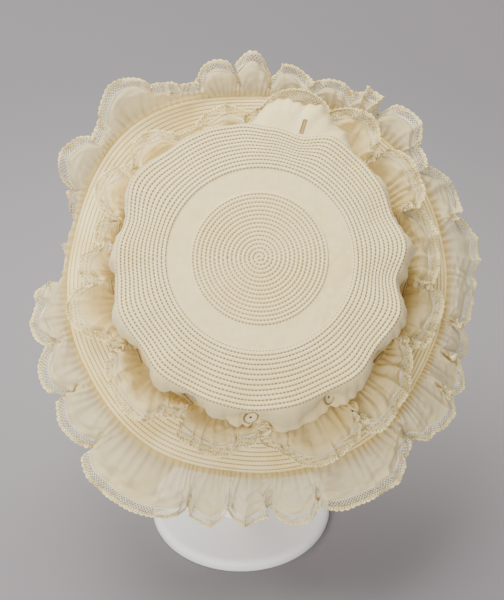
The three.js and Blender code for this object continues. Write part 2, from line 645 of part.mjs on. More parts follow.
// The stem rises from the foot and is cut on the slant to meet the pad's underside.
function makeStem(hatPlace) {
  const start = FOOT_THICKNESS + SEAM_GAP;
  const flareHeight = 26;
  const tall = HAT_HEIGHT + TIP_HEIGHT;
  const profile = [
    [0, start],
    [STEM_FLARE, start],
    [STEM_RADIUS + 2, start + flareHeight / 2],
    [STEM_RADIUS, start + flareHeight],
    [STEM_RADIUS, tall],
    [0, tall],
  ];
  const block = new THREE.BoxGeometry(4 * TIP_RADIUS, 4 * TIP_RADIUS, tall);
  block.translate(0, 0, padBottom - SEAM_GAP + tall / 2);
  const stem = toSolid(lathe(profile, 20)).subtract(toSolid(block, hatPlace));
  return piece('stand_stem', fromSolid(stem), whitePaint);
}

const hat = new THREE.Group();
hat.add(makeCrown(), makeBand(), makeBrim(), makePad());
for (let i = 0; i < CROWN_FOLDS.length; i++) hat.add(makeButton(i));
hat.add(...makeRuffle('upper_ruffle', upperRuffle, UPPER_LACE));
hat.add(...makeRuffle('outer_ruffle', outerRuffle, OUTER_LACE));
hat.position.set(HAT_SHIFT, HAT_SET_BACK, HAT_HEIGHT);
hat.rotation.x = rad(STAND_TILT);
hat.updateMatrix();

const part = new THREE.Group();
part.add(hat, makeFoot(), makeStem(hat.matrix));

export default part;
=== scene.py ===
import math

import bpy
import numpy as np
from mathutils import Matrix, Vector


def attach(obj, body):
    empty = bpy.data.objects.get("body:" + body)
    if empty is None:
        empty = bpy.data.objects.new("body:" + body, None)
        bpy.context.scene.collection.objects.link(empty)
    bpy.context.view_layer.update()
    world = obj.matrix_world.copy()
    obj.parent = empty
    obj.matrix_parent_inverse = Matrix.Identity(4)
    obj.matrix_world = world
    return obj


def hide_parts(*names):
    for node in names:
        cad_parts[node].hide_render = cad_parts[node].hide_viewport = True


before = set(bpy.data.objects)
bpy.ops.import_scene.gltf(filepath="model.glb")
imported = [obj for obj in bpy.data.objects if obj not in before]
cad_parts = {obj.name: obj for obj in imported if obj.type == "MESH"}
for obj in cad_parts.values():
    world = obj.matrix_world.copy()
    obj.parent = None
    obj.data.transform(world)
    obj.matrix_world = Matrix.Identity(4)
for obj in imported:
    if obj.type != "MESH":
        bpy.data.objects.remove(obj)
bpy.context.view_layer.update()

# The studio
# A pale grey paper floor under one large soft light from above and to the left, and a weaker one low
# in front. The camera looks down at the hat's tip through a long lens.

CAMERA_ELEVATION = math.radians(37)
CAMERA_DISTANCE = 1.3
FRAME_HEIGHT_AT_TARGET = 0.381  # metres that the picture's height spans at the target
TARGET = Vector((0.0075, 0.0, 0.181))
BACK = Vector((0, -math.cos(CAMERA_ELEVATION), math.sin(CAMERA_ELEVATION)))

lens = bpy.data.cameras.new("studio_camera")
lens.sensor_fit = "VERTICAL"
lens.lens = lens.sensor_height * CAMERA_DISTANCE / FRAME_HEIGHT_AT_TARGET
lens.clip_end = 20
camera = bpy.data.objects.new("studio_camera", lens)
camera.location = TARGET + BACK * CAMERA_DISTANCE
camera.rotation_euler = BACK.to_track_quat("Z", "Y").to_euler()
bpy.context.scene.collection.objects.link(camera)
bpy.context.scene.camera = camera


def soft_light(name, place, size, power, colour):
    """A square area light at a place in metres that faces the hat."""
    data = bpy.data.lights.new(name, "AREA")
    data.size, data.energy, data.color = size, power, colour
    light = bpy.data.objects.new(name, data)
    light.location = place
    light.rotation_euler = (Vector(place) - TARGET).to_track_quat("Z", "Y").to_euler()
    bpy.context.scene.collection.objects.link(light)


AIR_STRENGTH = 0.62
soft_light("key_light", (-0.45, 0.3, 1.75), 1.5, 58, (1.0, 0.985, 0.955))
soft_light("fill_light", (-0.5, -1.5, 0.55), 1.0, 26, (0.99, 0.98, 1.0))
air = bpy.data.worlds.new("studio_air")
air.use_nodes = True
air.node_tree.nodes["Background"].inputs["Color"].default_value = (1.0, 0.99, 0.98, 1)
air.node_tree.nodes["Background"].inputs["Strength"].default_value = AIR_STRENGTH
bpy.context.scene.world = air


class Wire:
    """A shader socket that + - * / and ** work on, each adding a Math node. node adds any other."""

    def __init__(self, tree, socket):
        self.tree, self.socket = tree, socket

    def node(self, kind, settings=None, inputs=None, output=0):
        """Adds a node: its settings first, such as an operation, then its sockets' values or links."""
        made = self.tree.nodes.new(kind)
        for name, value in (settings or {}).items():
            setattr(made, name, value)
        for name, value in (inputs or {}).items():
            if isinstance(value, Wire):
                self.tree.links.new(value.socket, made.inputs[name])
            else:
                made.inputs[name].default_value = value
        return Wire(self.tree, made.outputs[output])

    def math(self, operation, *others):
        """Adds a Math node on this socket and up to two more values or wires."""
        inputs = dict(enumerate((self, *others)))
        return self.node("ShaderNodeMath", {"operation": operation}, inputs)

    def __add__(self, other):
        return self.math("ADD", other)

    def __sub__(self, other):
        return self.math("SUBTRACT", other)

    def __rsub__(self, other):
        return (self * -1).math("ADD", other)

    def __mul__(self, other):
        return self.math("MULTIPLY", other)

    def __truediv__(self, other):
        return self.math("DIVIDE", other)

    def __pow__(self, other):
        return self.math("POWER", other)

    __radd__, __rmul__ = __add__, __mul__

    def sine(self):
        return self.math("SINE")

    def step(self, low, high):
        """0 below low and 1 above high, eased between them."""
        settings = {"interpolation_type": "SMOOTHSTEP"}
        inputs = {"Value": self, "From Min": low, "From Max": high}
        return self.node("ShaderNodeMapRange", settings, inputs)

    def blend(self, first, second):
        """The colour first where this mask is 0 and second where it is 1."""
        colours = [value if isinstance(value, Wire) else (*value, 1) for value in (first, second)]
        inputs = {0: self, 6: colours[0], 7: colours[1]}
        return self.node("ShaderNodeMix", {"data_type": "RGBA"}, inputs, output=2)

    def noise(self, scale, detail=2.0):
        """Cloudy noise from 0 to 1 on this vector, with scale features to a unit."""
        return self.node("ShaderNodeTexNoise", None, {"Vector": self, "Scale": scale, "Detail": detail})

    def axes(self):
        """The three numbers of this vector."""
        split = self.tree.nodes.new("ShaderNodeSeparateXYZ")
        self.tree.links.new(self.socket, split.inputs[0])
        return [Wire(self.tree, out) for out in split.outputs]


def new_finish(name, coordinates="Object", **constants):
    """A material with one Principled shader whose plain sockets take constants, with _ for a space.
    Returns the material, the shader and a wire of the piece's coordinates, or of its UV map."""
    finish = bpy.data.materials.new(name)
    finish.use_nodes = True
    tree = finish.node_tree
    shader = tree.nodes["Principled BSDF"]
    for socket, value in constants.items():
        shader.inputs[socket.replace("_", " ")].default_value = value
    source = tree.nodes.new("ShaderNodeTexCoord")
    return finish, shader, Wire(tree, source.outputs[coordinates])


def feed(shader, **wires):
    """Links wires to the shader's sockets, with _ for a space."""
    for socket, wire in wires.items():
        wire.tree.links.new(wire.socket, shader.inputs[socket.replace("_", " ")])


def raise_bump(height, depth):
    """A Bump node on a wire of heights from 0 to 1, depth metres high."""
    return height.node("ShaderNodeBump", None, {"Height": height, "Strength": 1.0, "Distance": depth})


# A painted pool of light: the paper is painted lighter round the foot and darker away from it.
PAPER_PAINTED_LIGHT = (0.268, 0.251, 0.262)  # round the foot
PAPER_PAINTED_SHADE = (0.205, 0.191, 0.202)  # away from it
PAPER_CLOUD = (0.25, 0.234, 0.243)
floor_mesh = bpy.data.meshes.new("studio_floor")
floor_mesh.from_pydata([(-4, -4, 0), (4, -4, 0), (4, 6, 0), (-4, 6, 0)], [], [(0, 1, 2, 3)])
floor = bpy.data.objects.new("studio_floor", floor_mesh)
bpy.context.scene.collection.objects.link(floor)
paper, paper_shader, paper_place = new_finish("grey_paper", Roughness=0.9)
across, back, _ = paper_place.axes()
from_middle = (across**2 + (back - 0.22) ** 2) ** 0.5
painted_light_pool = from_middle.step(0.42, 0.1).blend(PAPER_PAINTED_SHADE, PAPER_PAINTED_LIGHT)
feed(paper_shader, Base_Color=(paper_place.noise(3.0) * 0.2).blend(painted_light_pool, PAPER_CLOUD))
floor_mesh.materials.append(paper)

# The crown
# Fine cotton lawn, cut round and corded: a spiral of cord in the middle, a plain ring, and rings of
# cord out to the edge, each stitched down between two layers. The plain border past the last cord
# has thirteen buttonholes and is turned down over the band, pulled in at each button. One button at
# the back has come undone, and the border stands out flat there.

MM = 0.001
TURN = 360.0
STAND_TILT = math.radians(41)
HAT_PLACE = (12.5, 12.0, 191.0)  # of the band's foot, in mm
TIP_RADIUS = 89.5
TIP_HEIGHT = 46.0
TIP_DOME = 5.0
EDGE_SAG = 1.8
CORD_PITCH = 2.65
CORD_RELIEF = 0.9
INNER_CORDS = 16
OUTER_CORDS = 12
PLAIN_START = INNER_CORDS * CORD_PITCH
PLAIN_END = TIP_RADIUS - OUTER_CORDS * CORD_PITCH
MARGIN = 24.0
MARGIN_HEM_HEIGHT = 9.0
EDGE_ROUND, EDGE_FALL = 2.5, 4.0  # how far the border runs out and down as it leaves the tip
HEM_UPRIGHT = 13.0  # over this height the buttoned border comes down to its hem
FLAT_HOLD = 0.3  # share of the border over which an open one keeps its direction at either end
HEM_SWELL = 0.75  # share of the swell that reaches the hem
FLARE, FLARE_START = 9.0, 0.72  # of the front hem past its buttons, and the share of the border above it
FLARE_FROM, FLARE_TO = 252.0, 316.0
TIP_UNEVEN, PUCKER, BROAD_PUCKER, LIMP = 0.35, 0.75, 1.1, 1.5  # sizes of the cloth's small waves
BAND_TOP_RADIUS, BAND_FOOT_RADIUS, BAND_HEIGHT = 83.0, 89.0, 34.0
CROWN_STANDOFF = 1.15  # from the band to the middle of the crown's cloth
CROWN_WALL = 0.7
# angle of the pull, last cord's radius there and in the swell after it as shares of TIP_RADIUS,
# swell as a share of MARGIN, and how open the border is at the pull and in the swell
CROWN_FOLDS = np.array([
    (-8, 0.945, 1.01, 0.34, 0, 0),
    (20, 0.965, 0.99, 0.26, 0, 0),
    (46, 1.0, 1.01, 0.3, 0, 0.35),
    (72, 0.92, 0.945, 0.3, 0.9, 0.75),
    (99, 0.985, 1.0, 0.28, 0, 0),
    (128, 1.01, 1.05, 0.28, 0, 0),
    (164, 0.965, 0.985, 0.24, 0, 0),
    (187, 0.985, 1.03, 0.38, 0, 0),
    (217, 1.01, 1.045, 0.42, 0, 0),
    (242, 1.03, 1.04, 0.4, 0, 0),
    (265.5, 1.045, 1.04, 0.55, 0, 0),
    (296, 1.02, 1.04, 0.4, 0, 0),
    (323, 1.0, 1.03, 0.34, 0, 0),
])
OPEN_PULL = 3  # the row whose button has come undone


def to_row(points):
    """Leans points of the upright hat back by the stand's tilt and puts them in place, in metres."""
    x, y, z = np.moveaxis(np.asarray(points, dtype=float), -1, 0)
    c, s = math.cos(STAND_TILT), math.sin(STAND_TILT)
    return MM * (np.stack([x, c * y - s * z, s * y + c * z], -1) + HAT_PLACE)


def polar(radius, degrees, height):
    """Points from the distance to the axis, the angle round it and the height."""
    turn = np.radians(degrees)
    return np.stack(np.broadcast_arrays(radius * np.cos(turn), radius * np.sin(turn), height), -1)


def ease(share):
    """0 at 0 and 1 at 1, level at both ends."""
    share = np.clip(share, 0, 1)
    return share * share * (3 - 2 * share)


def mix(first, second, share):
    return first + (second - first) * share


def wander(turns, seed, lowest, highest, waves=10):
    """A smooth closed wander round the circle, about 1 high: a sum of waves of whole counts between
    lowest and highest a turn, with seeded sizes and phases."""
    draw = np.random.default_rng(seed)
    counts = draw.integers(lowest, highest + 1, waves)
    phases = draw.uniform(0, 2 * np.pi, waves)
    sizes = draw.normal(size=waves)
    angles = 2 * np.pi * np.asarray(turns)[..., None] * counts + phases
    return (sizes * np.sin(angles)).sum(-1) / math.sqrt(waves / 2)


def off_sheet(surface, u, v, distance):
    """Points of a surface moved out along its normal, which is the cross of its two central steps."""
    step = 1e-3
    along = surface(u + step, v) - surface(u - step, v)
    across = surface(u, v + step) - surface(u, np.maximum(v - step, 0))
    normal = np.cross(across, along)
    length = np.linalg.norm(normal, axis=-1, keepdims=True)
    normal = np.where(length > 1e-12, normal / np.maximum(length, 1e-12), (0, 0, 1))
    return surface(u, v) + normal * np.asarray(distance)[..., None]


def skin_faces(counts):
    """Triangles between rings of points, which follow each other in one list. A ring has as many
    points as the one before it, twice or half as many, or one for a pole."""
    starts = np.concatenate([[0], np.cumsum(counts)])
    faces = []
    for i in range(len(counts) - 1):
        a, b = counts[i], counts[i + 1]
        many = max(a, b)
        k = np.arange(many)
        a0, a1 = k * a // many, (k + 1) * a // many % a
        b0, b1 = k * b // many, (k + 1) * b // many % b
        first = np.stack([starts[i] + a0, starts[i + 1] + b1, starts[i] + a1], -1)
        second = np.stack([starts[i] + a0, starts[i + 1] + b0, starts[i + 1] + b1], -1)
        faces += [first[a0 != a1], second[b0 != b1]]
    return np.concatenate(faces)


def grid_faces(rows, columns, round_rows=False):
    """Quads of a grid of points, facing out where rows run outwards and columns anticlockwise. The
    columns close in a ring, and with round_rows the rows do too."""
    r = np.arange(rows if round_rows else rows - 1)[:, None]
    c = np.arange(columns)[None, :]
    r1, c1 = (r + 1) % rows, (c + 1) % columns
    quads = [r * columns + c, r1 * columns + c, r1 * columns + c1, r * columns + c1]
    return np.stack(np.broadcast_arrays(*quads), -1).reshape(-1, 4)


def lay_mesh(name, points, faces, finish, flat=None, place=to_row):
    """A smooth mesh object from rows of points and of vertex numbers, with its place in its mesh.
    flat gives each point its place on the flat cloth, in mm, as a UV map."""
    mesh = bpy.data.meshes.new(name)
    mesh.vertices.add(len(points))
    mesh.vertices.foreach_set("co", place(points).ravel())
    mesh.loops.add(faces.size)
    mesh.loops.foreach_set("vertex_index", faces.ravel())
    mesh.polygons.add(len(faces))
    mesh.polygons.foreach_set("loop_start", np.arange(0, faces.size, faces.shape[1]))
    mesh.polygons.foreach_set("use_smooth", np.ones(len(faces), dtype=bool))
    if flat is not None:
        layer = mesh.uv_layers.new(name="flat_cloth")
        layer.data.foreach_set("uv", np.asarray(flat, dtype=float)[faces.ravel()].ravel())
    mesh.update(calc_edges=True)
    mesh.materials.append(finish)
    piece = bpy.data.objects.new(name, mesh)
    bpy.context.scene.collection.objects.link(piece)
    return piece


def band_radius(height):
    return mix(BAND_FOOT_RADIUS, BAND_TOP_RADIUS, height / BAND_HEIGHT)


def crown_column(position):
    """What the crown does between two pulls: its angle, the last cord's radius, the border's swell,
    how open it is, and how full, from 0 at a pull to 1 midway. Each eases from pull to swell."""
    count = len(CROWN_FOLDS)
    turns = np.floor(position / count)
    local = position - turns * count
    i = np.floor(local).astype(int) % count
    share = local - np.floor(local)
    row, after = CROWN_FOLDS[i], CROWN_FOLDS[(i + 1) % count]
    span = (after[..., 0] - row[..., 0]) % TURN
    full = ease(1 - np.abs(2 * share - 1))
    ends = np.where(share[..., None] < 0.5, row, after)
    return {
        "degrees": row[..., 0] + span * share + turns * TURN,
        "edge": mix(ends[..., 1], row[..., 2], full) * TIP_RADIUS,
        "swell": row[..., 3] * full * MARGIN,
        "open": mix(ends[..., 4], row[..., 5], full**2),
        "full": full,
    }


def tip_height(radius):
    return TIP_HEIGHT + TIP_DOME * (1 - (radius / TIP_RADIUS) ** 2)


def crown_point(position, reach):
    """The crown's middle surface. On the tip it is a low dome whose outer rings take the wave of the
    pulls. Past the last cord it is a cubic curve from the tip's edge down to the buttoned hem, or
    level outwards where the border is open. At the front its hem flares out past the buttons."""
    here = crown_column(position)
    flat = np.minimum(reach, TIP_RADIUS)
    wave = ease((flat - PLAIN_END) / (TIP_RADIUS - PLAIN_END))
    radius = mix(flat, flat / TIP_RADIUS * here["edge"], wave)
    sag = EDGE_SAG * wave * (1 - here["full"]) * (1 - here["open"])
    turns = position / len(CROWN_FOLDS)
    uneven = TIP_UNEVEN * wander(turns, 11, 2, 9) * ease(flat / TIP_RADIUS)
    height = tip_height(flat) - sag + uneven
    past = np.clip(reach - TIP_RADIUS, 0, 1)
    shut = 1 - here["open"]
    foot_height = MARGIN_HEM_HEIGHT - 0.5 * here["full"]
    hold = band_radius(foot_height) + CROWN_STANDOFF
    foot_r = mix(radius + MARGIN, hold + HEM_SWELL * here["swell"], shut)
    foot_z = mix(height + 1, foot_height, shut)
    leave_r = radius + mix(MARGIN * FLAT_HOLD, EDGE_ROUND + 0.3 * here["swell"], shut)
    leave_z = height - mix(0.6, EDGE_FALL, shut)
    arrive_r = mix(foot_r - MARGIN * FLAT_HOLD, foot_r + 0.5 + 0.35 * here["swell"], shut)
    arrive_z = mix(height + 2, foot_z + HEM_UPRIGHT, shut)
    back = 1 - past
    weights = (back**3, 3 * back**2 * past, 3 * back * past**2, past**3)
    along_r = sum(w * p for w, p in zip(weights, (radius, leave_r, arrive_r, foot_r)))
    along_z = sum(w * p for w, p in zip(weights, (height, leave_z, arrive_z, foot_z)))
    pucker = PUCKER * wander(turns, 23, 60, 110, 14) + BROAD_PUCKER * wander(turns, 29, 22, 46)
    pucker = past * (1 - 0.4 * past) * pucker
    limp = here["open"] * past * LIMP * wander(turns + 0.01 * past, 37, 24, 60)
    angle = here["degrees"] % TURN
    front = ease((angle - FLARE_FROM) / 10) * ease((FLARE_TO - angle) / 12)
    flare = FLARE * front * ease((past - FLARE_START) / (1 - FLARE_START)) * (1 - 0.6 * here["full"])
    return polar(along_r + pucker + flare, here["degrees"], along_z + limp)


def cord_profile(share):
    """A round cord under cloth: a half circle over the pitch, a little flattened."""
    return np.sqrt(np.clip(1 - (2 * share - 1) ** 2, 0, 1)) ** 0.8


CROWN_COLUMNS = 416
CORD_STEPS = 8  # rings of points across a cord of the spiral
inner_reach = np.arange(1, INNER_CORDS * CORD_STEPS + 1) * CORD_PITCH / CORD_STEPS
outer_shares = np.array([0.06, 0.2, 0.4, 0.6, 0.8, 0.94, 1.0])
outer_reach = (PLAIN_END + CORD_PITCH * (np.arange(OUTER_CORDS)[:, None] + outer_shares)).ravel()
plain_reach = np.linspace(PLAIN_START, PLAIN_END, 12)[1:]
border_reach = TIP_RADIUS + np.linspace(0, 1, 25)[1:]
under_reach = np.concatenate([border_reach[::-1], np.linspace(TIP_RADIUS, PLAIN_END, 10), [PLAIN_START]])
# each ring's reach, columns, side of the cloth, and cord: 0 for none, 1 for the spiral, 2 for a ring
crown_rings = [(0.001, 1, 1, 0)]
for r in inner_reach:
    crown_rings.append((r, CROWN_COLUMNS // 8 if r < 10 else CROWN_COLUMNS // 2, 1, 1))
crown_rings += [(r, CROWN_COLUMNS, 1, 0) for r in plain_reach]
crown_rings += [(r, CROWN_COLUMNS, 1, 2) for r in outer_reach]
crown_rings += [(r, CROWN_COLUMNS, 1, 0) for r in border_reach]
crown_rings += [(r, CROWN_COLUMNS, -1, 0) for r in under_reach]
crown_rings += [(10.0, CROWN_COLUMNS // 2, -1, 0), (0.001, 1, -1, 0)]
crown_points, crown_flat, crown_grid = [], [], []
for reach, columns, side, cord in crown_rings:
    position = np.arange(columns) * len(CROWN_FOLDS) / columns
    degrees = crown_column(position)["degrees"]
    share = np.zeros(columns)
    if cord == 1:
        phase = reach / CORD_PITCH - degrees / TURN
        share = 1 - ((1 + np.cos(2 * np.pi * phase)) / 2) ** 1.4
        share *= ease((PLAIN_START - reach) / 2 + 0.2)
    if cord == 2:
        share = cord_profile(((reach - PLAIN_END) / CORD_PITCH) % 1) * np.ones(columns)
    distance = side * CROWN_WALL / 2 + CORD_RELIEF * share
    crown_points.append(off_sheet(crown_point, position, np.full(columns, reach), distance))
    flat_reach = min(reach, TIP_RADIUS) + max(reach - TIP_RADIUS, 0) * MARGIN
    crown_flat.append(polar(flat_reach, degrees, 0.0)[:, :2])
    beside = np.full(columns, flat_reach), np.full(columns, side)
    crown_grid.append(np.stack([np.arange(columns), *beside], -1))
crown_points, crown_flat = np.concatenate(crown_points), np.concatenate(crown_flat)

# The buttonhole where the border is open: faces between two columns are left out of both skins, and
# each open edge of the upper skin is joined to the edge that lies under it.
SLIT_START, SLIT_END = TIP_RADIUS + 2.9, TIP_RADIUS + 11.1  # on the flat cloth
slit_column = OPEN_PULL * CROWN_COLUMNS // len(CROWN_FOLDS)
crown_faces = skin_faces([ring[1] for ring in crown_rings])
column, flat_reach, side = np.concatenate(crown_grid).T
in_slit = (column - slit_column >= 0) & (column - slit_column <= 1)
in_slit &= (flat_reach > SLIT_START) & (flat_reach < SLIT_END)
crown_faces = crown_faces[~in_slit[crown_faces].all(1)]
edges = crown_faces[:, [0, 1, 1, 2, 2, 0]].reshape(-1, 2)
keys, opposite = edges @ (1, len(column)), edges @ (len(column), 1)
rim = edges[~np.isin(keys, opposite)]
rim = rim[(side[rim] > 0).all(1)]
rings = np.round(np.stack([column, flat_reach * 100, side], -1)).astype(int).tolist()
number = {tuple(ring): i for i, ring in enumerate(rings)}
below = np.array([[number[rings[v][0], rings[v][1], -1] for v in edge] for edge in rim])
near, far = rim.T
near_below, far_below = below.T
walls = [np.stack([far, near, near_below], -1), np.stack([far, near_below, far_below], -1)]
crown_faces = np.concatenate([crown_faces, *walls])

CREAM = (0.91, 0.75, 0.39)
CREAM_SHADE = (0.85, 0.67, 0.30)
# This yellow-brown also serves as painted shade in the crown's grooves and next to the ruffles' seams.
TEA = (0.56, 0.43, 0.17)  # the yellow-brown of old cotton
# painted shade in the stitch holes of the crown's grooves
STITCH_HOLE_SHADE = (0.30, 0.21, 0.08)
# the buttonhole's worked edge is stained brown, and its slit is painted this dark as shade
BUTTONHOLE_STAIN_AND_SHADE = (0.26, 0.15, 0.055)  # of the buttonhole
STITCH_PITCH = 2.1
WEAVE_RATE = 9.0  # radians of the weave to a millimetre
LAWN_BUMP = 0.0006


def lawn_finish(name, light, shade, stain_and_shade, corded):
    """Lawn on its flat cloth, in mm: a fine over-and-under weave, cloudy yellowing, and for the corded
    crown a row of stitches and holes in each groove, with painted shade on the cords' sides, in the grooves
    and holes and towards the tip's front edge, and a buttonhole with a brown-stained worked edge and
    painted shade in its slit. The spiral and the rings repeat the mesh's."""
    finish, shader, flat = new_finish(name, "UV", Roughness=0.88)
    shader.inputs["Specular IOR Level"].default_value = 0.25
    shader.inputs["Sheen Weight"].default_value = 0.15
    x, y, _ = flat.axes()
    weave = ((x * WEAVE_RATE).sine() * (y * WEAVE_RATE).sine()) * 0.5 + 0.5
    cloud = flat.noise(0.03, 4.0)
    mottle = flat.noise(0.25, 3.0)
    colour = (cloud * 0.6 + mottle * 0.4).step(0.35, 0.75).blend(light, shade)
    height = weave * 0.12 + mottle * 0.6 + flat.noise(0.11, 2.0) * 1.6
    if corded:
        reach = (x * x + y * y) ** 0.5
        around = y.math("ARCTAN2", x)
        inner = reach.step(PLAIN_START, PLAIN_START - 0.3)
        outer = reach.step(PLAIN_END - 0.3, PLAIN_END) * reach.step(TIP_RADIUS + 0.5, TIP_RADIUS + 0.2)
        spiral = reach / CORD_PITCH - around / (2 * math.pi)
        rings = (reach - PLAIN_END) / CORD_PITCH
        wave = (spiral * (2 * math.pi)).math("COSINE") * inner
        wave = wave + (rings * (2 * math.pi)).math("COSINE") * outer
        groove = wave.step(0.45, 0.98)
        # the radius of the groove itself, so that its stitches run straight across it
        line = (spiral.math("ROUND") + around / (2 * math.pi)) * inner * CORD_PITCH
        line = line + (rings.math("ROUND") * CORD_PITCH + PLAIN_END) * (1 - inner)
        uneven = flat.noise(0.04) * 12
        stitch = (line * around * (2 * math.pi / STITCH_PITCH) + line * 1.1 + uneven).sine().step(-0.3, 0.5)
        thread = groove * stitch
        hole_shade = groove * (1 - stitch)
        dimple = wave.step(0.02, 0.8) * (1 - stitch)
        plain = reach.step(PLAIN_START - 0.5, PLAIN_START + 1) * reach.step(PLAIN_END + 0.5, PLAIN_END - 1)
        colour = (plain * (0.12 + flat.noise(0.16, 5.0).step(0.4, 0.7) * 0.16)).blend(colour, stain_and_shade)
        # Painted shade: the cords' sides darken towards the grooves, the grooves darken, and the holes
        # between stitches are painted dark brown. The thread over them keeps the light cloth colour.
        colour = (dimple * 0.3).blend(colour, stain_and_shade)
        colour = (groove * 0.35).blend(colour, stain_and_shade)
        colour = (hole_shade * 0.8).blend(colour, STITCH_HOLE_SHADE)
        colour = (thread * 0.95).blend(colour, light)
        # Painted shade: the tip darkens towards its front edge, where it curves down away from the light.
        colour = (y.step(-40.0, -86.0) * 0.24).blend(colour, stain_and_shade)
        height = height - groove * 0.8 + thread * 0.8 - dimple * 0.6
        turn = math.radians(CROWN_FOLDS[OPEN_PULL, 0] + 0.42)  # of the middle of the buttonhole
        down = x * math.cos(turn) + y * math.sin(turn)
        beside = (y * math.cos(turn) - x * math.sin(turn)).math("ABSOLUTE")
        worked_edge_and_slit_shade = down.step(SLIT_START - 1.2, SLIT_START - 0.3) * down.step(SLIT_END + 1.2, SLIT_END + 0.3)
        worked_edge_and_slit_shade = worked_edge_and_slit_shade * beside.step(1.9, 1.1)
        # The buttonhole's worked edge is stained brown, with painted shade in the slit and on its walls.
        colour = (worked_edge_and_slit_shade * 0.9).blend(colour, BUTTONHOLE_STAIN_AND_SHADE)
        height = height + worked_edge_and_slit_shade * 0.8
    blot = flat.noise(0.055, 5.0).step(0.62, 0.8)
    colour = (blot * 0.35).blend(colour, stain_and_shade)
    feed(shader, Base_Color=colour, Normal=raise_bump(height, LAWN_BUMP))
    return finish


crown_finish = lawn_finish("corded_lawn", CREAM, CREAM_SHADE, TEA, corded=True)
crown = lay_mesh("corded_crown_cloth", crown_points, crown_faces, crown_finish, crown_flat)
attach(crown, "root")
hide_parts("corded_crown")

# The band
# A standing band of the same lawn, cut a little wider at the foot, that the crown buttons on to. It
# is sewn to the brim's inner edge.

BAND_WALL = 1.5
BAND_GAP = 0.3  # from its foot to the brim
BAND_RIPPLE = 0.12
BAND_COLUMNS = 208
BAND_ROWS = 12  # up each side
band_turn = np.arange(BAND_COLUMNS) / BAND_COLUMNS
ripple = BAND_RIPPLE * wander(band_turn, 31, 20, 60)
band_rows = []
for inset, start, end in ((0, BAND_HEIGHT, BAND_GAP), (BAND_WALL, BAND_GAP, BAND_HEIGHT)):
    for height in np.linspace(start, end, BAND_ROWS):
        band_rows.append(polar(band_radius(height) - inset + ripple, band_turn * TURN, height))
band_points = np.concatenate(band_rows)
band_rim = np.repeat(np.arange(2 * BAND_ROWS) * 3.0, BAND_COLUMNS)
band_flat = np.stack([np.tile(band_turn * 2 * np.pi * BAND_FOOT_RADIUS, 2 * BAND_ROWS), band_rim], -1)
band_faces = grid_faces(2 * BAND_ROWS, BAND_COLUMNS, round_rows=True)
band_finish = lawn_finish("band_lawn", CREAM, CREAM_SHADE, TEA, corded=False)
band = lay_mesh("crown_band_cloth", band_points, band_faces, band_finish, band_flat)
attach(band, "root")
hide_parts("crown_band")

# The buttons
# Flat rings wound and covered in linen, with a dent of thread in the middle where each is sewn on.
# The metal rings inside have rusted and stained the linen brown round the rim, and each button's side is
# painted dark brown as shade.

BUTTON_RADIUS = 5.0
BUTTON_THICKNESS = 1.8
BUTTON_SIDES = 48
LINEN, LINEN_STAINED = (0.84, 0.72, 0.42), (0.54, 0.40, 0.16)
# painted shade on each button's side
LINEN_SIDE_SHADE = (0.34, 0.23, 0.085)
RUST = (0.13, 0.06, 0.015)
THREAD_EYE = (0.08, 0.04, 0.015)


def button_finish():
    """Linen that goes from cream in the middle to rust in a broken line over the ring, with a dark eye of
    thread and painted shade on the button's side. UV is the place on the button's face, in mm from its
    middle."""
    finish, shader, flat = new_finish("linen_button", "UV", Roughness=0.85)
    x, y, _ = flat.axes()
    reach = (x * x + y * y) ** 0.5
    broken = flat.noise(0.5, 3.0)
    rim = reach.step(3.8, 4.3) * reach.step(4.95, 4.75) * broken.step(0.25, 0.45)
    tea = reach.step(1.5, 4.2) * broken
    eye = reach.step(1.1, 0.7)
    colour = (tea * 0.7).blend(LINEN, LINEN_STAINED)
    # Painted shade: the button's side is painted dark brown.
    colour = (reach.step(4.75, 4.88) * 0.95).blend(colour, LINEN_SIDE_SHADE)
    colour = (rim * 0.95).blend(colour, RUST)
    colour = eye.blend(colour, THREAD_EYE)
    feed(shader, Base_Color=colour, Normal=raise_bump(broken, 0.0003))
    return finish


linen = button_finish()
# radius and height of the button's section, in shares of its radius and thickness
BUTTON_SECTION = np.array([
    (0.0, 0.5), (0.1, 0.52), (0.2, 0.66), (0.4, 0.72), (0.6, 0.75), (0.72, 0.8), (0.82, 0.94), (0.9, 1.0),
    (0.96, 0.9), (1.0, 0.62), (0.98, 0.3), (0.9, 0.08), (0.75, 0.0), (0.4, 0.0), (0.0, 0.0),
])
BUTTON_SHARE = 0.74  # of the way down the border
BUTTON_SEAT = 2.75  # from the middle of the border's cloth to the button's back
BAND_SEAT = 0.55  # the same, from the band's face, of the button that has come undone
BUTTON_TILT = {10: 0.62, 11: 0.62}  # the border flares under the two foremost buttons and tips them up
counts = [1] + [BUTTON_SIDES] * (len(BUTTON_SECTION) - 2) + [1]
section = zip(BUTTON_SECTION * (BUTTON_RADIUS, BUTTON_THICKNESS), counts)
disc = np.concatenate([polar(r, np.arange(n) * TURN / n, h) for (r, h), n in section])
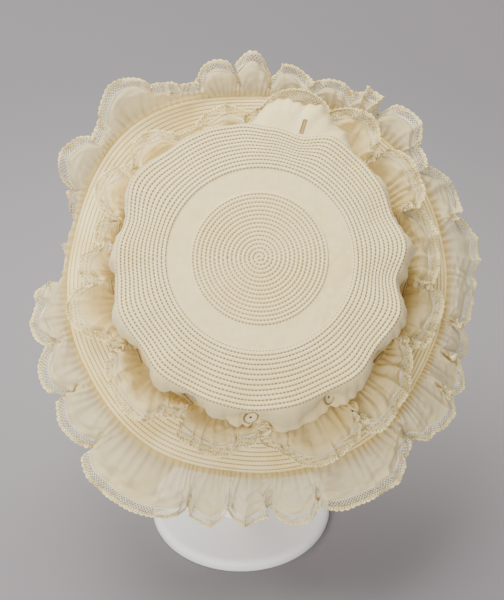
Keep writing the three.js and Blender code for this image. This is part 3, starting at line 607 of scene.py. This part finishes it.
for i in range(len(CROWN_FOLDS)):
    at, share = np.array([float(i)]), np.array([TIP_RADIUS + BUTTON_SHARE])
    seat = off_sheet(crown_point, at, share, np.array([BUTTON_SEAT]))[0]
    behind = off_sheet(crown_point, at, share, np.array([0.0]))[0]
    if i == OPEN_PULL:
        degrees = math.radians(CROWN_FOLDS[i, 0])
        slope = math.atan2(BAND_FOOT_RADIUS - BAND_TOP_RADIUS, BAND_HEIGHT)
        level = math.cos(slope)
        out = np.array([level * math.cos(degrees), level * math.sin(degrees), math.sin(slope)])
        radius = band_radius(BAND_HEIGHT / 2) + BAND_SEAT
        seat = np.array([radius * math.cos(degrees), radius * math.sin(degrees), BAND_HEIGHT / 2])
        behind = seat - out
    up = BUTTON_TILT.get(i, 0.0)
    behind = behind - (0, 0, up * np.linalg.norm(seat - behind))
    face = Vector(seat - behind).to_track_quat("Z", "Y").to_matrix()
    points = disc @ np.array(face).T + seat
    button = lay_mesh(f"linen_button_{i + 1:02d}", points, skin_faces(counts), linen, disc[:, :2])
    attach(button, "root")
    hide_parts(f"button_{i + 1:02d}")

# The brim
# Two layers of lawn with rings of cord stitched between them out to the edge. It slopes down from
# the band and waves a little, and it has yellowed more than the rest.

BRIM_RADIUS = 128.0
BRIM_DROP = 12.0
BRIM_INNER = BAND_FOOT_RADIUS + 0.55
BRIM_CORDS = 9
BRIM_CORD_PITCH = 2.7
BRIM_CORD_RELIEF = 0.75
BRIM_WALL = 0.9
# angle, edge as a share of BRIM_RADIUS and rise as a share of BRIM_DROP
BRIM_WAVES = np.array([
    (5, 0.96, -0.1), (47, 0.985, 0.3), (90, 0.975, 0.2), (130, 1.04, 0.8), (168, 0.985, -0.1),
    (205, 1.0, 0.35), (237, 1.03, 0.1), (264, 0.995, -0.35), (298, 1.0, 0.2), (335, 0.95, -0.2),
])


def read_waves(column, degrees):
    """Reads a column of the brim's waves, easing from each row to the next round the circle."""
    start = BRIM_WAVES[:, 0]
    along = (degrees[..., None] - start) % TURN
    i = np.argmin(along, axis=-1)
    span = (np.roll(start, -1) - start) % TURN
    share = ease(np.take_along_axis(along, i[..., None], -1)[..., 0] / span[i])
    return mix(BRIM_WAVES[i, column], np.roll(BRIM_WAVES[:, column], -1)[i], share)


def brim_edge(degrees):
    return BRIM_RADIUS * read_waves(1, degrees)


def brim_height(degrees, share):
    """The brim's fall grows with the share of the way out, and a wave's rise with its square."""
    return BRIM_DROP * (read_waves(2, degrees) * share**2 - share)


def brim_point(degrees, share):
    radius = mix(BRIM_INNER, brim_edge(degrees), share)
    return polar(radius, degrees, brim_height(degrees, share))


BRIM_COLUMNS = 360
brim_span = BRIM_RADIUS - BRIM_INNER
cord_start = 1 - BRIM_CORDS * BRIM_CORD_PITCH / brim_span
brim_cords = (np.arange(BRIM_CORDS)[:, None] + np.append(0, outer_shares)).ravel()
brim_shares = cord_start + brim_cords * BRIM_CORD_PITCH / brim_span
brim_relief = BRIM_CORD_RELIEF * cord_profile(np.round(brim_cords % 1, 6))
plain_shares = np.linspace(0, cord_start, 6)[:-1]
top_rows = [(share, BRIM_WALL / 2) for share in plain_shares]
top_rows += [(share, BRIM_WALL / 2 + relief) for share, relief in zip(brim_shares, brim_relief)]
under_rows = [(share, -BRIM_WALL / 2) for share in np.linspace(1, 0, 24)]
brim_turn = np.arange(BRIM_COLUMNS) * TURN / BRIM_COLUMNS
brim_points, brim_flat = [], []
for share, offset in top_rows + under_rows:
    offsets = np.full(BRIM_COLUMNS, offset)
    brim_points.append(off_sheet(brim_point, brim_turn, np.full(BRIM_COLUMNS, share), offsets))
    brim_flat.append(polar(BRIM_INNER + share * brim_span, brim_turn, 0.0)[:, :2])

AGED = (0.93, 0.78, 0.41)
AGED_SHADE = (0.84, 0.66, 0.27)
# painted shade in the brim's grooves
AGED_GROOVE_SHADE = (0.40, 0.27, 0.11)
BRIM_BUMP = 0.0004


def brim_finish():
    """Yellowed lawn: painted shade in the grooves between the cords, with a stitch line in each groove and
    brown clouds. UV is the place on the flat brim, in mm."""
    finish, shader, flat = new_finish("aged_corded_lawn", "UV", Roughness=0.9)
    shader.inputs["Specular IOR Level"].default_value = 0.2
    x, y, _ = flat.axes()
    reach = (x * x + y * y) ** 0.5
    around = y.math("ARCTAN2", x)
    first = BRIM_INNER + cord_start * brim_span
    rings = (reach - first) / BRIM_CORD_PITCH
    groove = (rings * (2 * math.pi)).math("COSINE").step(0.6, 1.0)
    groove = groove * reach.step(first - 0.2, first)
    line = rings.math("ROUND") * BRIM_CORD_PITCH + first
    stitch = (line * around * (2 * math.pi / STITCH_PITCH) + line).sine().step(-0.2, 0.7)
    cloud = flat.noise(0.035, 4.0)
    colour = cloud.step(0.35, 0.7).blend(AGED, AGED_SHADE)
    # Painted shade in the grooves, lifted where the stitch thread lies.
    colour = (groove * (1 - stitch * 0.6) * 0.65).blend(colour, AGED_GROOVE_SHADE)
    height = flat.noise(0.4, 3.0) * 0.3 - groove * 0.5 + groove * stitch * 0.6
    feed(shader, Base_Color=colour, Normal=raise_bump(height, BRIM_BUMP))
    return finish


brim_faces = grid_faces(len(brim_points), BRIM_COLUMNS, round_rows=True)
brim_points, brim_flat = np.concatenate(brim_points), np.concatenate(brim_flat)
brim = lay_mesh("corded_brim_cloth", brim_points, brim_faces, brim_finish(), brim_flat)
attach(brim, "root")
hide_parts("brim")

# The ruffles
# Two long strips of sheer lawn, gathered along one edge and sewn round the crown's foot and round the
# brim's edge. Each falls in broad lobes with narrow creases between them, and fine gathers run out
# from its seam to a narrow hem.

LAID_ON_BRIM = 2.25  # from the middle of the brim's cloth to the middle of the ruffle's
LOBE_SPREAD = 0.8  # how far a lobe's sides fan out over the creases beside it
LOBE_DEPTH = 8.0  # a hem that turns in by this much or more has its full spread
ROOT_SLOPE = -0.2  # of the cloth as it leaves its seam
CURVE_HOLD = 0.3  # share of the strip's reach over which either end keeps its direction
HEM_OUTWARD = 0.45  # how far a raised hem bends from its own slope to plain outward
HANG_GAIN = 1.2  # how quickly that bend goes as the hem hangs below the brim
PUFF_SHARE, PUFF_LIMIT = 0.45, 6.0  # how much of a short lobe's spare cloth puffs up, and at most
GATHER_DEPTH, FINE_DEPTH, CRUMPLE_DEPTH = 1.25, 0.6, 0.55
ROLLS = 58  # broad waves of a hem in one turn
# The hem's turning points: angle, reach from the seam and height over the brim as shares of the
# strip's width, and degrees that it leans sideways
UPPER_HEM = np.array([
    (3, 0.54, 0.25, 0), (13, 0.61, 0.3, 0), (23, 0.26, 0.42, 1), (29, 0.76, 0.3, 0), (38, 0.87, 0.35, 0),
    (48, 0.25, 0.45, -2), (56, 0.98, 0.5, 0), (66, 0.42, 0.7, 0), (77, 0.79, 0.8, 0), (89, 0.31, 0.5, 0),
    (95, 0.2, 0.3, 0), (103, 0.54, 0.25, 0), (112, 0.13, 0.35, 0), (121, 0.2, 0.2, 0),
    (131, 0.65, 0.5, 0), (140, 0.2, 0.5, 0), (148, 0.76, 0.4, 1), (158, 0.13, 0.45, 1),
    (165, 0.31, 0.4, 0), (171, 0.13, 0.5, 0), (177, 0.57, 0.35, 0), (183, 0.24, 0.6, 1.5),
    (191, 0.91, 0.4, 0), (202, 0.35, 0.4, 0), (209, 0.05, 0.25, 0), (216, 0.65, 0.5, 0),
    (225, 0.87, 0.6, 2), (235, 0.39, 0.3, 0), (240, 0.24, 0.45, 2), (247, 0.65, 0.3, 0),
    (255, 0.72, 0.22, 0), (263, 0.42, 0.3, 0), (271.5, 0.13, 0.5, 0), (279, 0.65, 0.3, 0),
    (289, 1.02, 0.25, 0), (298, 0.87, 0.3, 0), (303, 0.45, 0.42, 1), (308, 0.94, 0.35, 0),
    (317, 0.79, 0.3, 0), (326, 0.5, 0.3, 0), (333, 0.13, 0.5, 0), (341, 0.61, 0.35, 0),
    (350, 0.68, 0.3, 0), (358, 0.24, 0.5, -3),
])
OUTER_HEM = np.array([
    (2, 0.58, -0.3, 0), (11, 0.73, -0.25, 0), (18, 0.25, 0.1, 3), (26, 0.6, -0.3, 0),
    (34, 0.05, 0.1, 0), (41, 0.2, 0.1, 0), (48, 0.73, 0.1, 0), (55, 0.27, -0.2, 0),
    (59, 0.62, 0.15, 0), (63, 0.28, 0, 0), (68, 0.44, 0.1, 0), (75, 0.07, 0.15, 0),
    (82, 0.58, 0.1, 0), (87, 0.24, -0.2, 0), (92, 0.81, 0.25, 0), (96, 0.33, -0.1, 0),
    (101, 0.64, 0.25, 0), (107, 0.1, 0.15, 0), (113, 0.08, 0.3, 0), (120, 0.24, 0.4, 0),
    (128, 0.69, 0.45, 0), (134, 0.35, -0.1, 0), (140, 0.2, 0.1, 0), (147, 0.72, 0.1, 0),
    (153, 0.25, -0.2, 0), (160, 0.12, -0.6, 0), (170, 0.1, -0.65, 0), (179, 0.12, -0.6, 0),
    (185, 0.58, -0.2, 0), (192, 0.71, -0.15, 0), (198, 0.31, 0.05, 1.5), (206, 0.85, -0.15, 0),
    (211, 0.45, -0.3, 0), (218, 0.95, -0.1, 0), (225, 0.67, -0.25, 0), (231, 1.25, 0.1, 0),
    (240, 1.28, 0.15, 0), (248, 1.15, 0.2, 0), (252, 0.68, -0.3, 0), (257, 1.07, -0.25, 0),
    (262, 0.56, 0, 0), (267, 0.95, -0.15, 0), (273, 0.48, -0.4, 0), (279, 1.01, -0.1, 0),
    (285, 0.58, -0.3, -1.5), (292, 0.96, -0.1, 0), (301, 0.97, -0.05, 0), (309, 0.67, -0.1, 0),
    (313, 0.32, -0.3, 1.5), (319, 0.8, -0.2, 0), (325, 0.97, -0.2, 0), (329, 0.6, 0, 0),
    (333, 0.86, -0.2, 0), (338, 0.36, 0, 3), (343, 0.62, -0.35, 0), (347, 0.23, 0.1, 0),
    (354, 0.52, -0.3, 0),
])
SEAM_INSET = 3.0  # from the brim's inner edge or its outer one
# gathers are counted in one turn, and sunk is how far the seam sinks into the brim's plain part
upper = {"hem": UPPER_HEM, "width": 27.0, "sunk": 0.6, "seed": 41, "gathers": 150}
upper["root"] = lambda edge: BRIM_INNER + SEAM_INSET + 0 * edge
outer = {"hem": OUTER_HEM, "width": 26.0, "sunk": 0.0, "seed": 67, "gathers": 200}
outer["root"] = lambda edge: edge - SEAM_INSET


def ruffle_base(ruffle, position, out):
    """A ruffle's surface without its gathers. The hem eases from one turning point to the next, and
    runs ahead of its place by a sine where it turns in, so that lobes are broad and creases narrow.
    Across the strip a cubic curve leaves the seam along the brim and reaches the hem midway between
    its own direction and straight out. Past the hem it runs on straight."""
    hem = ruffle["hem"]
    count = len(hem)
    turns = np.floor(position / count)
    local = position - turns * count
    i = np.floor(local).astype(int) % count
    share = local - np.floor(local)
    row, after = hem[i], hem[(i + 1) % count]
    span = (after[..., 0] - row[..., 0]) % TURN
    level = mix(row, after, ease(share)[..., None])
    width = ruffle["width"]
    root_degrees = row[..., 0] + span * share + turns * TURN
    inward = np.clip((row[..., 1] - after[..., 1]) * width / LOBE_DEPTH, -1, 1)
    swing = LOBE_SPREAD * span / np.pi * np.sin(np.pi * share) * inward
    hem_degrees = root_degrees + swing + level[..., 3] * ease(2 * level[..., 2])
    edge = brim_edge(root_degrees % TURN)
    root = ruffle["root"](edge)
    root_share = (root - BRIM_INNER) / (edge - BRIM_INNER)
    reach = root + level[..., 1] * width
    hem_share = (reach - BRIM_INNER) / (edge - BRIM_INNER)
    start_z = brim_height(root_degrees % TURN, root_share) + LAID_ON_BRIM - ruffle["sunk"]
    start = polar(root, root_degrees, start_z)
    hem_z = brim_height(root_degrees % TURN, hem_share) + LAID_ON_BRIM + level[..., 2] * width
    end = polar(reach, hem_degrees, hem_z)
    turn = np.radians(root_degrees)
    outward = np.stack([np.cos(turn), np.sin(turn), 0 * turn + ROOT_SLOPE], -1)
    facing = end - start
    facing = facing / np.linalg.norm(facing, axis=-1, keepdims=True)
    straight = HEM_OUTWARD * (1 - np.clip(-HANG_GAIN * level[..., 2:3], 0, 1))
    arrive = (1 - straight) * facing + straight * outward
    arrive = arrive / np.linalg.norm(arrive, axis=-1, keepdims=True)
    t = np.clip(out, 0, 1)[..., None]
    direct = np.linalg.norm(end - start, axis=-1)
    handle = CURVE_HOLD * direct[..., None]
    first = start + outward * handle
    second = end - arrive * handle
    back = 1 - t
    curve = back**3 * start + 3 * back**2 * t * first + 3 * back * t**2 * second + t**3 * end
    puff = PUFF_SHARE * direct * np.sqrt(np.clip(width / direct - 1, 0, 1))
    puff = np.minimum(puff, PUFF_LIMIT) * 6.75 * (t * t * (1 - t))[..., 0]
    curve = curve + np.stack([0 * puff, 0 * puff, puff], -1)
    return curve + arrive * width * np.maximum(out - 1, 0)[..., None]


def ruffle_point(ruffle, position, out):
    """The ruffle's base moved along its normal by gathers, which fade out from the seam, and by seeded
    waves, which grow towards the hem. The broadest wave also rolls sideways, a quarter turn behind."""
    step = 0.02
    along = ruffle_base(ruffle, position + step, out) - ruffle_base(ruffle, position - step, out)
    ahead, behind = out + step, out - step * (out > 0.5)
    across = ruffle_base(ruffle, position, ahead) - ruffle_base(ruffle, position, behind)
    normal = np.cross(across, along)
    normal = normal / np.maximum(np.linalg.norm(normal, axis=-1, keepdims=True), 1e-9)
    around = position / len(ruffle["hem"])
    seed = ruffle["seed"]
    jitter = 1.8 * wander(around, seed, 8, 30)
    gather = np.sin(2 * np.pi * ruffle["gathers"] * around + jitter)
    run = 0.22 + 0.5 * ease(0.5 + 0.6 * wander(around, seed + 3, 20, 60))
    gather = gather * GATHER_DEPTH * (1 - np.exp(-out / 0.04)) * np.exp(-out / run)
    past = np.maximum(0, out)
    drift = around + 0.004 * wander(around, seed + 4, 5, 14) * past
    roll = 2 * np.pi * ROLLS * around + 2.4 * wander(around, seed + 1, 6, 26)
    size = np.clip(1.15 + 1.1 * wander(around, seed + 7, 8, 30), 0, 2.6) * past**1.3
    fine = FINE_DEPTH * np.sqrt(past) * wander(drift, seed + 2, 70, 130, 14)
    crumple = CRUMPLE_DEPTH * wander(around + 0.006 * past, seed + 5, 40, 90)
    crumple = crumple * wander(0.5 * past + around, seed + 6, 3, 9)
    run_along = along / np.maximum(np.linalg.norm(along, axis=-1, keepdims=True), 1e-9)
    moved = normal * (gather + fine + crumple * past + size * np.sin(roll))[..., None]
    rolled = run_along * (size * np.cos(roll))[..., None]
    return ruffle_base(ruffle, position, out) + moved + rolled


SHEER, SHEER_SHADE = (0.90, 0.765, 0.42), (0.83, 0.67, 0.28)
SHEER_GLOW = (0.86, 0.72, 0.36)  # of light that comes through
SHEER_WEAVE_RATE = 8.0  # radians of the weave to a millimetre
# painted shade next to the ruffles' seams reaches this far
SEAM_SHADE_REACH = 13.0  # mm from the seam
HEM_LINE = 21.8  # mm from the seam to the double hem


def sheer_finish():
    """Sheer lawn: part of the light passes through, fine crinkles run out from the gathers, shade is
    painted gold-brown next to the seam, and the narrow hem, two layers thick, is less sheer. UV is the
    place on the flat strip, in mm."""
    finish, shader, flat = new_finish("sheer_lawn", "UV", Roughness=0.9)
    shader.inputs["Specular IOR Level"].default_value = 0.2
    x, y, _ = flat.axes()
    weave = ((x * SHEER_WEAVE_RATE).sine() * (y * SHEER_WEAVE_RATE).sine()) * 0.5 + 0.5
    stretched = flat.node("ShaderNodeMapping", None, {"Vector": flat, "Scale": (0.6, 0.06, 1.0)})
    crinkle = stretched.noise(1.0, 4.0)
    cloud = flat.noise(0.02, 4.0)
    hem = y.step(HEM_LINE, HEM_LINE + 0.2)
    colour = (cloud * 0.7 + crinkle * 0.3).step(0.38, 0.72).blend(SHEER, SHEER_SHADE)
    # Painted shade: the cloth is painted gold-brown next to its seam, where it lies in shade.
    colour = (y.step(SEAM_SHADE_REACH, 0.0) * 0.65).blend(colour, TEA)
    seen = 0.70 + 0.1 * weave + hem * 0.14 + crinkle.step(0.5, 0.8) * 0.1
    bump = raise_bump(crinkle * 0.8 + weave * 0.1, LAWN_BUMP)
    feed(shader, Base_Color=colour, Alpha=seen, Normal=bump)
    tree = finish.node_tree
    glow = flat.node("ShaderNodeBsdfTranslucent", None, {"Color": (*SHEER_GLOW, 1)})
    clear = flat.node("ShaderNodeBsdfTransparent", None, {})
    veil = flat.node("ShaderNodeMixShader", None, {0: 0.75, 1: clear, 2: glow})
    body = flat.node("ShaderNodeMixShader", None, {0: 0.28, 1: Wire(tree, shader.outputs[0]), 2: veil})
    tree.links.new(body.socket, tree.nodes["Material Output"].inputs["Surface"])
    return finish


sheer = sheer_finish()
RUFFLE_COLUMNS = 1320
RUFFLE_ROWS = 26


def make_ruffle(name, ruffle, node):
    """The lawn strip of a ruffle, from its seam to its hem."""
    columns = RUFFLE_COLUMNS
    shares = np.arange(columns) * len(ruffle["hem"]) / columns
    position, out = np.meshgrid(shares, np.linspace(0, 1, RUFFLE_ROWS))
    points = ruffle_point(ruffle, position, out)
    hem_line = points[-1]
    steps = np.linalg.norm(np.roll(hem_line, -1, axis=0) - hem_line, axis=-1)
    length = np.concatenate([[0], np.cumsum(steps)])
    flat = np.stack([np.broadcast_to(length[:-1], out.shape), out * ruffle["width"]], -1)
    faces = grid_faces(RUFFLE_ROWS, columns)
    cloth = lay_mesh(name, points.reshape(-1, 3), faces, sheer, flat.reshape(-1, 2))
    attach(cloth, "root")
    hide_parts(node)
    return cloth, length


upper_cloth, upper_hem = make_ruffle("upper_ruffle_cloth", upper, "upper_ruffle")
outer_cloth, outer_hem = make_ruffle("outer_ruffle_cloth", outer, "outer_ruffle")

# The lace
# A machine lace edging of cotton thread, whipped to each ruffle's hem: a bright footing, an open net
# of four rows of meshes, and a close scalloped border.

LACE_WIDTH = 8.0
NET_START, NET_END = 0.9, 5.5  # the net's rows lie between these, in mm from the hem
NET_ROWS = 4
NET_PITCH = 1.9
NET_THREAD = 0.25
SCALLOP_PITCH = 3.4
SCALLOP_DEPTH = 0.9
SCALLOP_COLUMNS = 8
EYE_PITCH = 1.7
WHIP_PITCH = 1.1  # of the stitches over the footing
THREAD, THREAD_SHADE = (0.95, 0.85, 0.52), (0.87, 0.72, 0.34)
THREAD_SPECK, THREAD_EDGE = (0.46, 0.33, 0.12), (0.88, 0.73, 0.34)
# the border's eyes are painted dark as the shade seen through them
THREAD_FOOTING, LACE_EYE_SHADE = (0.94, 0.85, 0.58), (0.42, 0.30, 0.14)


def lace_point(ruffle, hem, along, across):
    """A point of the lace from its length along the hem and its distance past it, both in mm."""
    count = len(ruffle["hem"])
    position = np.interp(along % hem[-1], hem, np.arange(len(hem)) * count / (len(hem) - 1))
    return ruffle_point(ruffle, position, 1 + across / ruffle["width"])


def thread_tubes(starts, ends, normals, thickness):
    """Three-sided threads from starts to ends: each end has three corners round the thread's line."""
    run = ends - starts
    run = run / np.maximum(np.linalg.norm(run, axis=-1, keepdims=True), 1e-9)
    side = np.cross(run, normals)
    corners = []
    for turn in (0.0, 2 * np.pi / 3, 4 * np.pi / 3):
        off = thickness * (side * np.cos(turn) + normals * np.sin(turn))
        corners += [starts + off, ends + off]
    points = np.stack(corners, 1)
    first = np.arange(len(starts))[:, None, None] * 6
    quads = np.array([(0, 1, 3, 2), (2, 3, 5, 4), (4, 5, 1, 0)])
    return points.reshape(-1, 3), (first + quads).reshape(-1, 4)


def lace_finish():
    """Cotton thread: whiter in the footing, yellow in clouds in the net, and in the border dense thread
    with a row of small eyes painted dark as the shade seen through them. UV is the place along and across
    the lace, in mm."""
    finish, shader, flat = new_finish("lace_thread", "UV", Roughness=0.92)
    shader.inputs["Specular IOR Level"].default_value = 0.2
    along, across, _ = flat.axes()
    cloud = flat.noise(0.03, 3.0)
    fine = flat.noise(0.6, 2.0)
    colour = cloud.step(0.35, 0.7).blend(THREAD, THREAD_SHADE)
    colour = (fine.step(0.52, 0.62) * 0.7).blend(colour, THREAD_SPECK)
    colour = (across.step(NET_END - 0.2, NET_END + 0.2) * 0.6).blend(colour, THREAD_EDGE)
    colour = across.step(1.3, 1.0).blend(colour, THREAD_FOOTING)
    beat = (along * (2 * math.pi / EYE_PITCH)).sine()
    row = across.step(NET_END + 0.2, NET_END + 0.5) * across.step(NET_END + 1.5, NET_END + 1.1)
    eye = beat.step(0.1, 0.6) * row
    whip = ((along + across) * (2 * math.pi / WHIP_PITCH)).sine() * across.step(1.3, 1.0)
    # Painted shade in the eyes of the border.
    colour = (eye * 0.75).blend(colour, LACE_EYE_SHADE)
    feed(shader, Base_Color=colour, Normal=raise_bump(fine * 0.5 - eye * 0.8 + whip * 0.4, 0.0005))
    return finish


lace_thread = lace_finish()


def make_lace(name, ruffle, hem, node):
    """Footing, net and scalloped border of one ruffle's lace, joined as one mesh. The net's threads
    cross from row to row as zigzags. The footing and the border are narrow closed bands."""
    meshes = round(hem[-1] / NET_PITCH)
    pitch = hem[-1] / meshes
    rows = np.arange(NET_ROWS + 1)
    depth = NET_START + (NET_END - NET_START) * rows / NET_ROWS
    k = np.arange(meshes)
    parts, faces, flats, total = [], [], [], 0

    def add(points, quads, flat):
        nonlocal total
        parts.append(points)
        faces.append(quads + total)
        flats.append(flat)
        total += len(points)

    for row in range(NET_ROWS):
        shift = 0.5 * (row % 2)
        low = lace_point(ruffle, hem, (k + shift) * pitch, np.full(meshes, depth[row]))
        for side in (-0.5, 0.5):
            high = lace_point(ruffle, hem, (k + shift + side) * pitch, np.full(meshes, depth[row + 1]))
            beside = lace_point(ruffle, hem, (k + shift + 0.3) * pitch, np.full(meshes, depth[row]))
            normal = np.cross(high - low, beside - low)
            normal = normal / np.maximum(np.linalg.norm(normal, axis=-1, keepdims=True), 1e-9)
            flat = np.stack([(k + shift) * pitch, np.full(meshes, depth[row])], -1)
            add(*thread_tubes(low, high, normal, NET_THREAD), np.repeat(flat, 6, axis=0))

    scallops = round(hem[-1] / SCALLOP_PITCH)
    columns = scallops * SCALLOP_COLUMNS
    along = np.arange(columns) * hem[-1] / columns
    scallop = np.abs(np.sin(np.pi * np.arange(columns) / SCALLOP_COLUMNS)) ** 0.7

    def band(edges, thickness):
        """A closed band across the given distances past the hem, bulging to its thickness midway."""
        across = np.array(edges)
        hump = thickness * np.sqrt(np.clip(1 - np.linspace(-1, 1, len(across)) ** 2, 0.02, 1))
        upper_side = [lace_point(ruffle, hem, along, a) + (0, 0, h) for a, h in zip(across, hump)]
        back = zip(across[::-1], hump[::-1])
        lower_side = [lace_point(ruffle, hem, along, a) - (0, 0, h) for a, h in back]
        rings = upper_side + lower_side
        flat = [np.stack([along, a], -1) for a in (*across, *across[::-1])]
        add(np.concatenate(rings), grid_faces(len(rings), columns, round_rows=True), np.concatenate(flat))

    flat_row = np.zeros(columns)
    band([flat_row + 0.1, flat_row + 0.55, flat_row + 1.0], 0.4)
    inner_edge = NET_END - 0.15 + 0.35 * (1 - scallop)
    outer_edge = LACE_WIDTH - SCALLOP_DEPTH + SCALLOP_DEPTH * scallop
    band([mix(inner_edge, outer_edge, s) for s in (0, 0.35, 0.7, 1.0)], 0.28)
    joined = [np.concatenate(lists) for lists in (parts, faces, flats)]
    lace = lay_mesh(name, joined[0], joined[1], lace_thread, joined[2])
    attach(lace, "root")
    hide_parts(node)
    return lace


upper_lace = make_lace("upper_ruffle_lace_edging", upper, upper_hem, "upper_ruffle_lace")
outer_lace = make_lace("outer_ruffle_lace_edging", outer, outer_hem, "outer_ruffle_lace")
for cloth, ruffle, hem, lace_piece in (
    (upper_cloth, upper, upper_hem, upper_lace),
    (outer_cloth, outer, outer_hem, outer_lace),
):
    ruffle["width"] * MM

# The stand
# A plain turned display stand of light wood in satin white paint: a round foot with a soft edge, a
# slim stem, and a low round pad that fills the hat's tip.

STAND_SIDES = 128
PAINT, PAINT_SHADE = (0.965, 0.95, 0.94), (0.935, 0.92, 0.91)


def white_finish():
    """Satin white paint: faint clouds of grey, and fine orange-peel."""
    finish, shader, place = new_finish("satin_white_paint", Roughness=0.45)
    cloud = place.noise(9.0, 3.0)
    colour = cloud.step(0.3, 0.75).blend(PAINT, PAINT_SHADE)
    peel = raise_bump(place.noise(400.0), 0.0001)
    feed(shader, Base_Color=colour, Roughness=0.4 + cloud * 0.15, Normal=peel)
    return finish


white_paint = white_finish()
FOOT_RADIUS = 60.5
FOOT_THICKNESS = 11.0
FOOT_ROUND = 5.0  # of the soft edge
STEM_FLARE = 22.0
foot_curve = np.linspace(0, np.pi / 2, 9)
foot_edge = [(FOOT_RADIUS - FOOT_ROUND * (1 - math.cos(a)), 4 + 4.2 * math.sin(a)) for a in foot_curve]
foot_section = [(0, 0), (FOOT_RADIUS - 1.5, 0), (FOOT_RADIUS - 0.4, 0.4), (FOOT_RADIUS, 1.5)]
foot_section += foot_edge + [(40, 9.4), (STEM_FLARE, FOOT_THICKNESS), (0, FOOT_THICKNESS)]
counts = [1] + [STAND_SIDES] * (len(foot_section) - 2) + [1]
rings = [polar(r, np.arange(n) * TURN / n, h) for (r, h), n in zip(foot_section[::-1], counts)]
foot_points = np.concatenate(rings)
foot = lay_mesh("turned_foot", foot_points, skin_faces(counts), white_paint, place=lambda p: MM * p)
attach(foot, "root")
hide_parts("stand_foot")

for name in ("stand_stem", "stand_pad"):
    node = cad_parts[name]
    node.data.materials.clear()
    node.data.materials.append(white_paint)
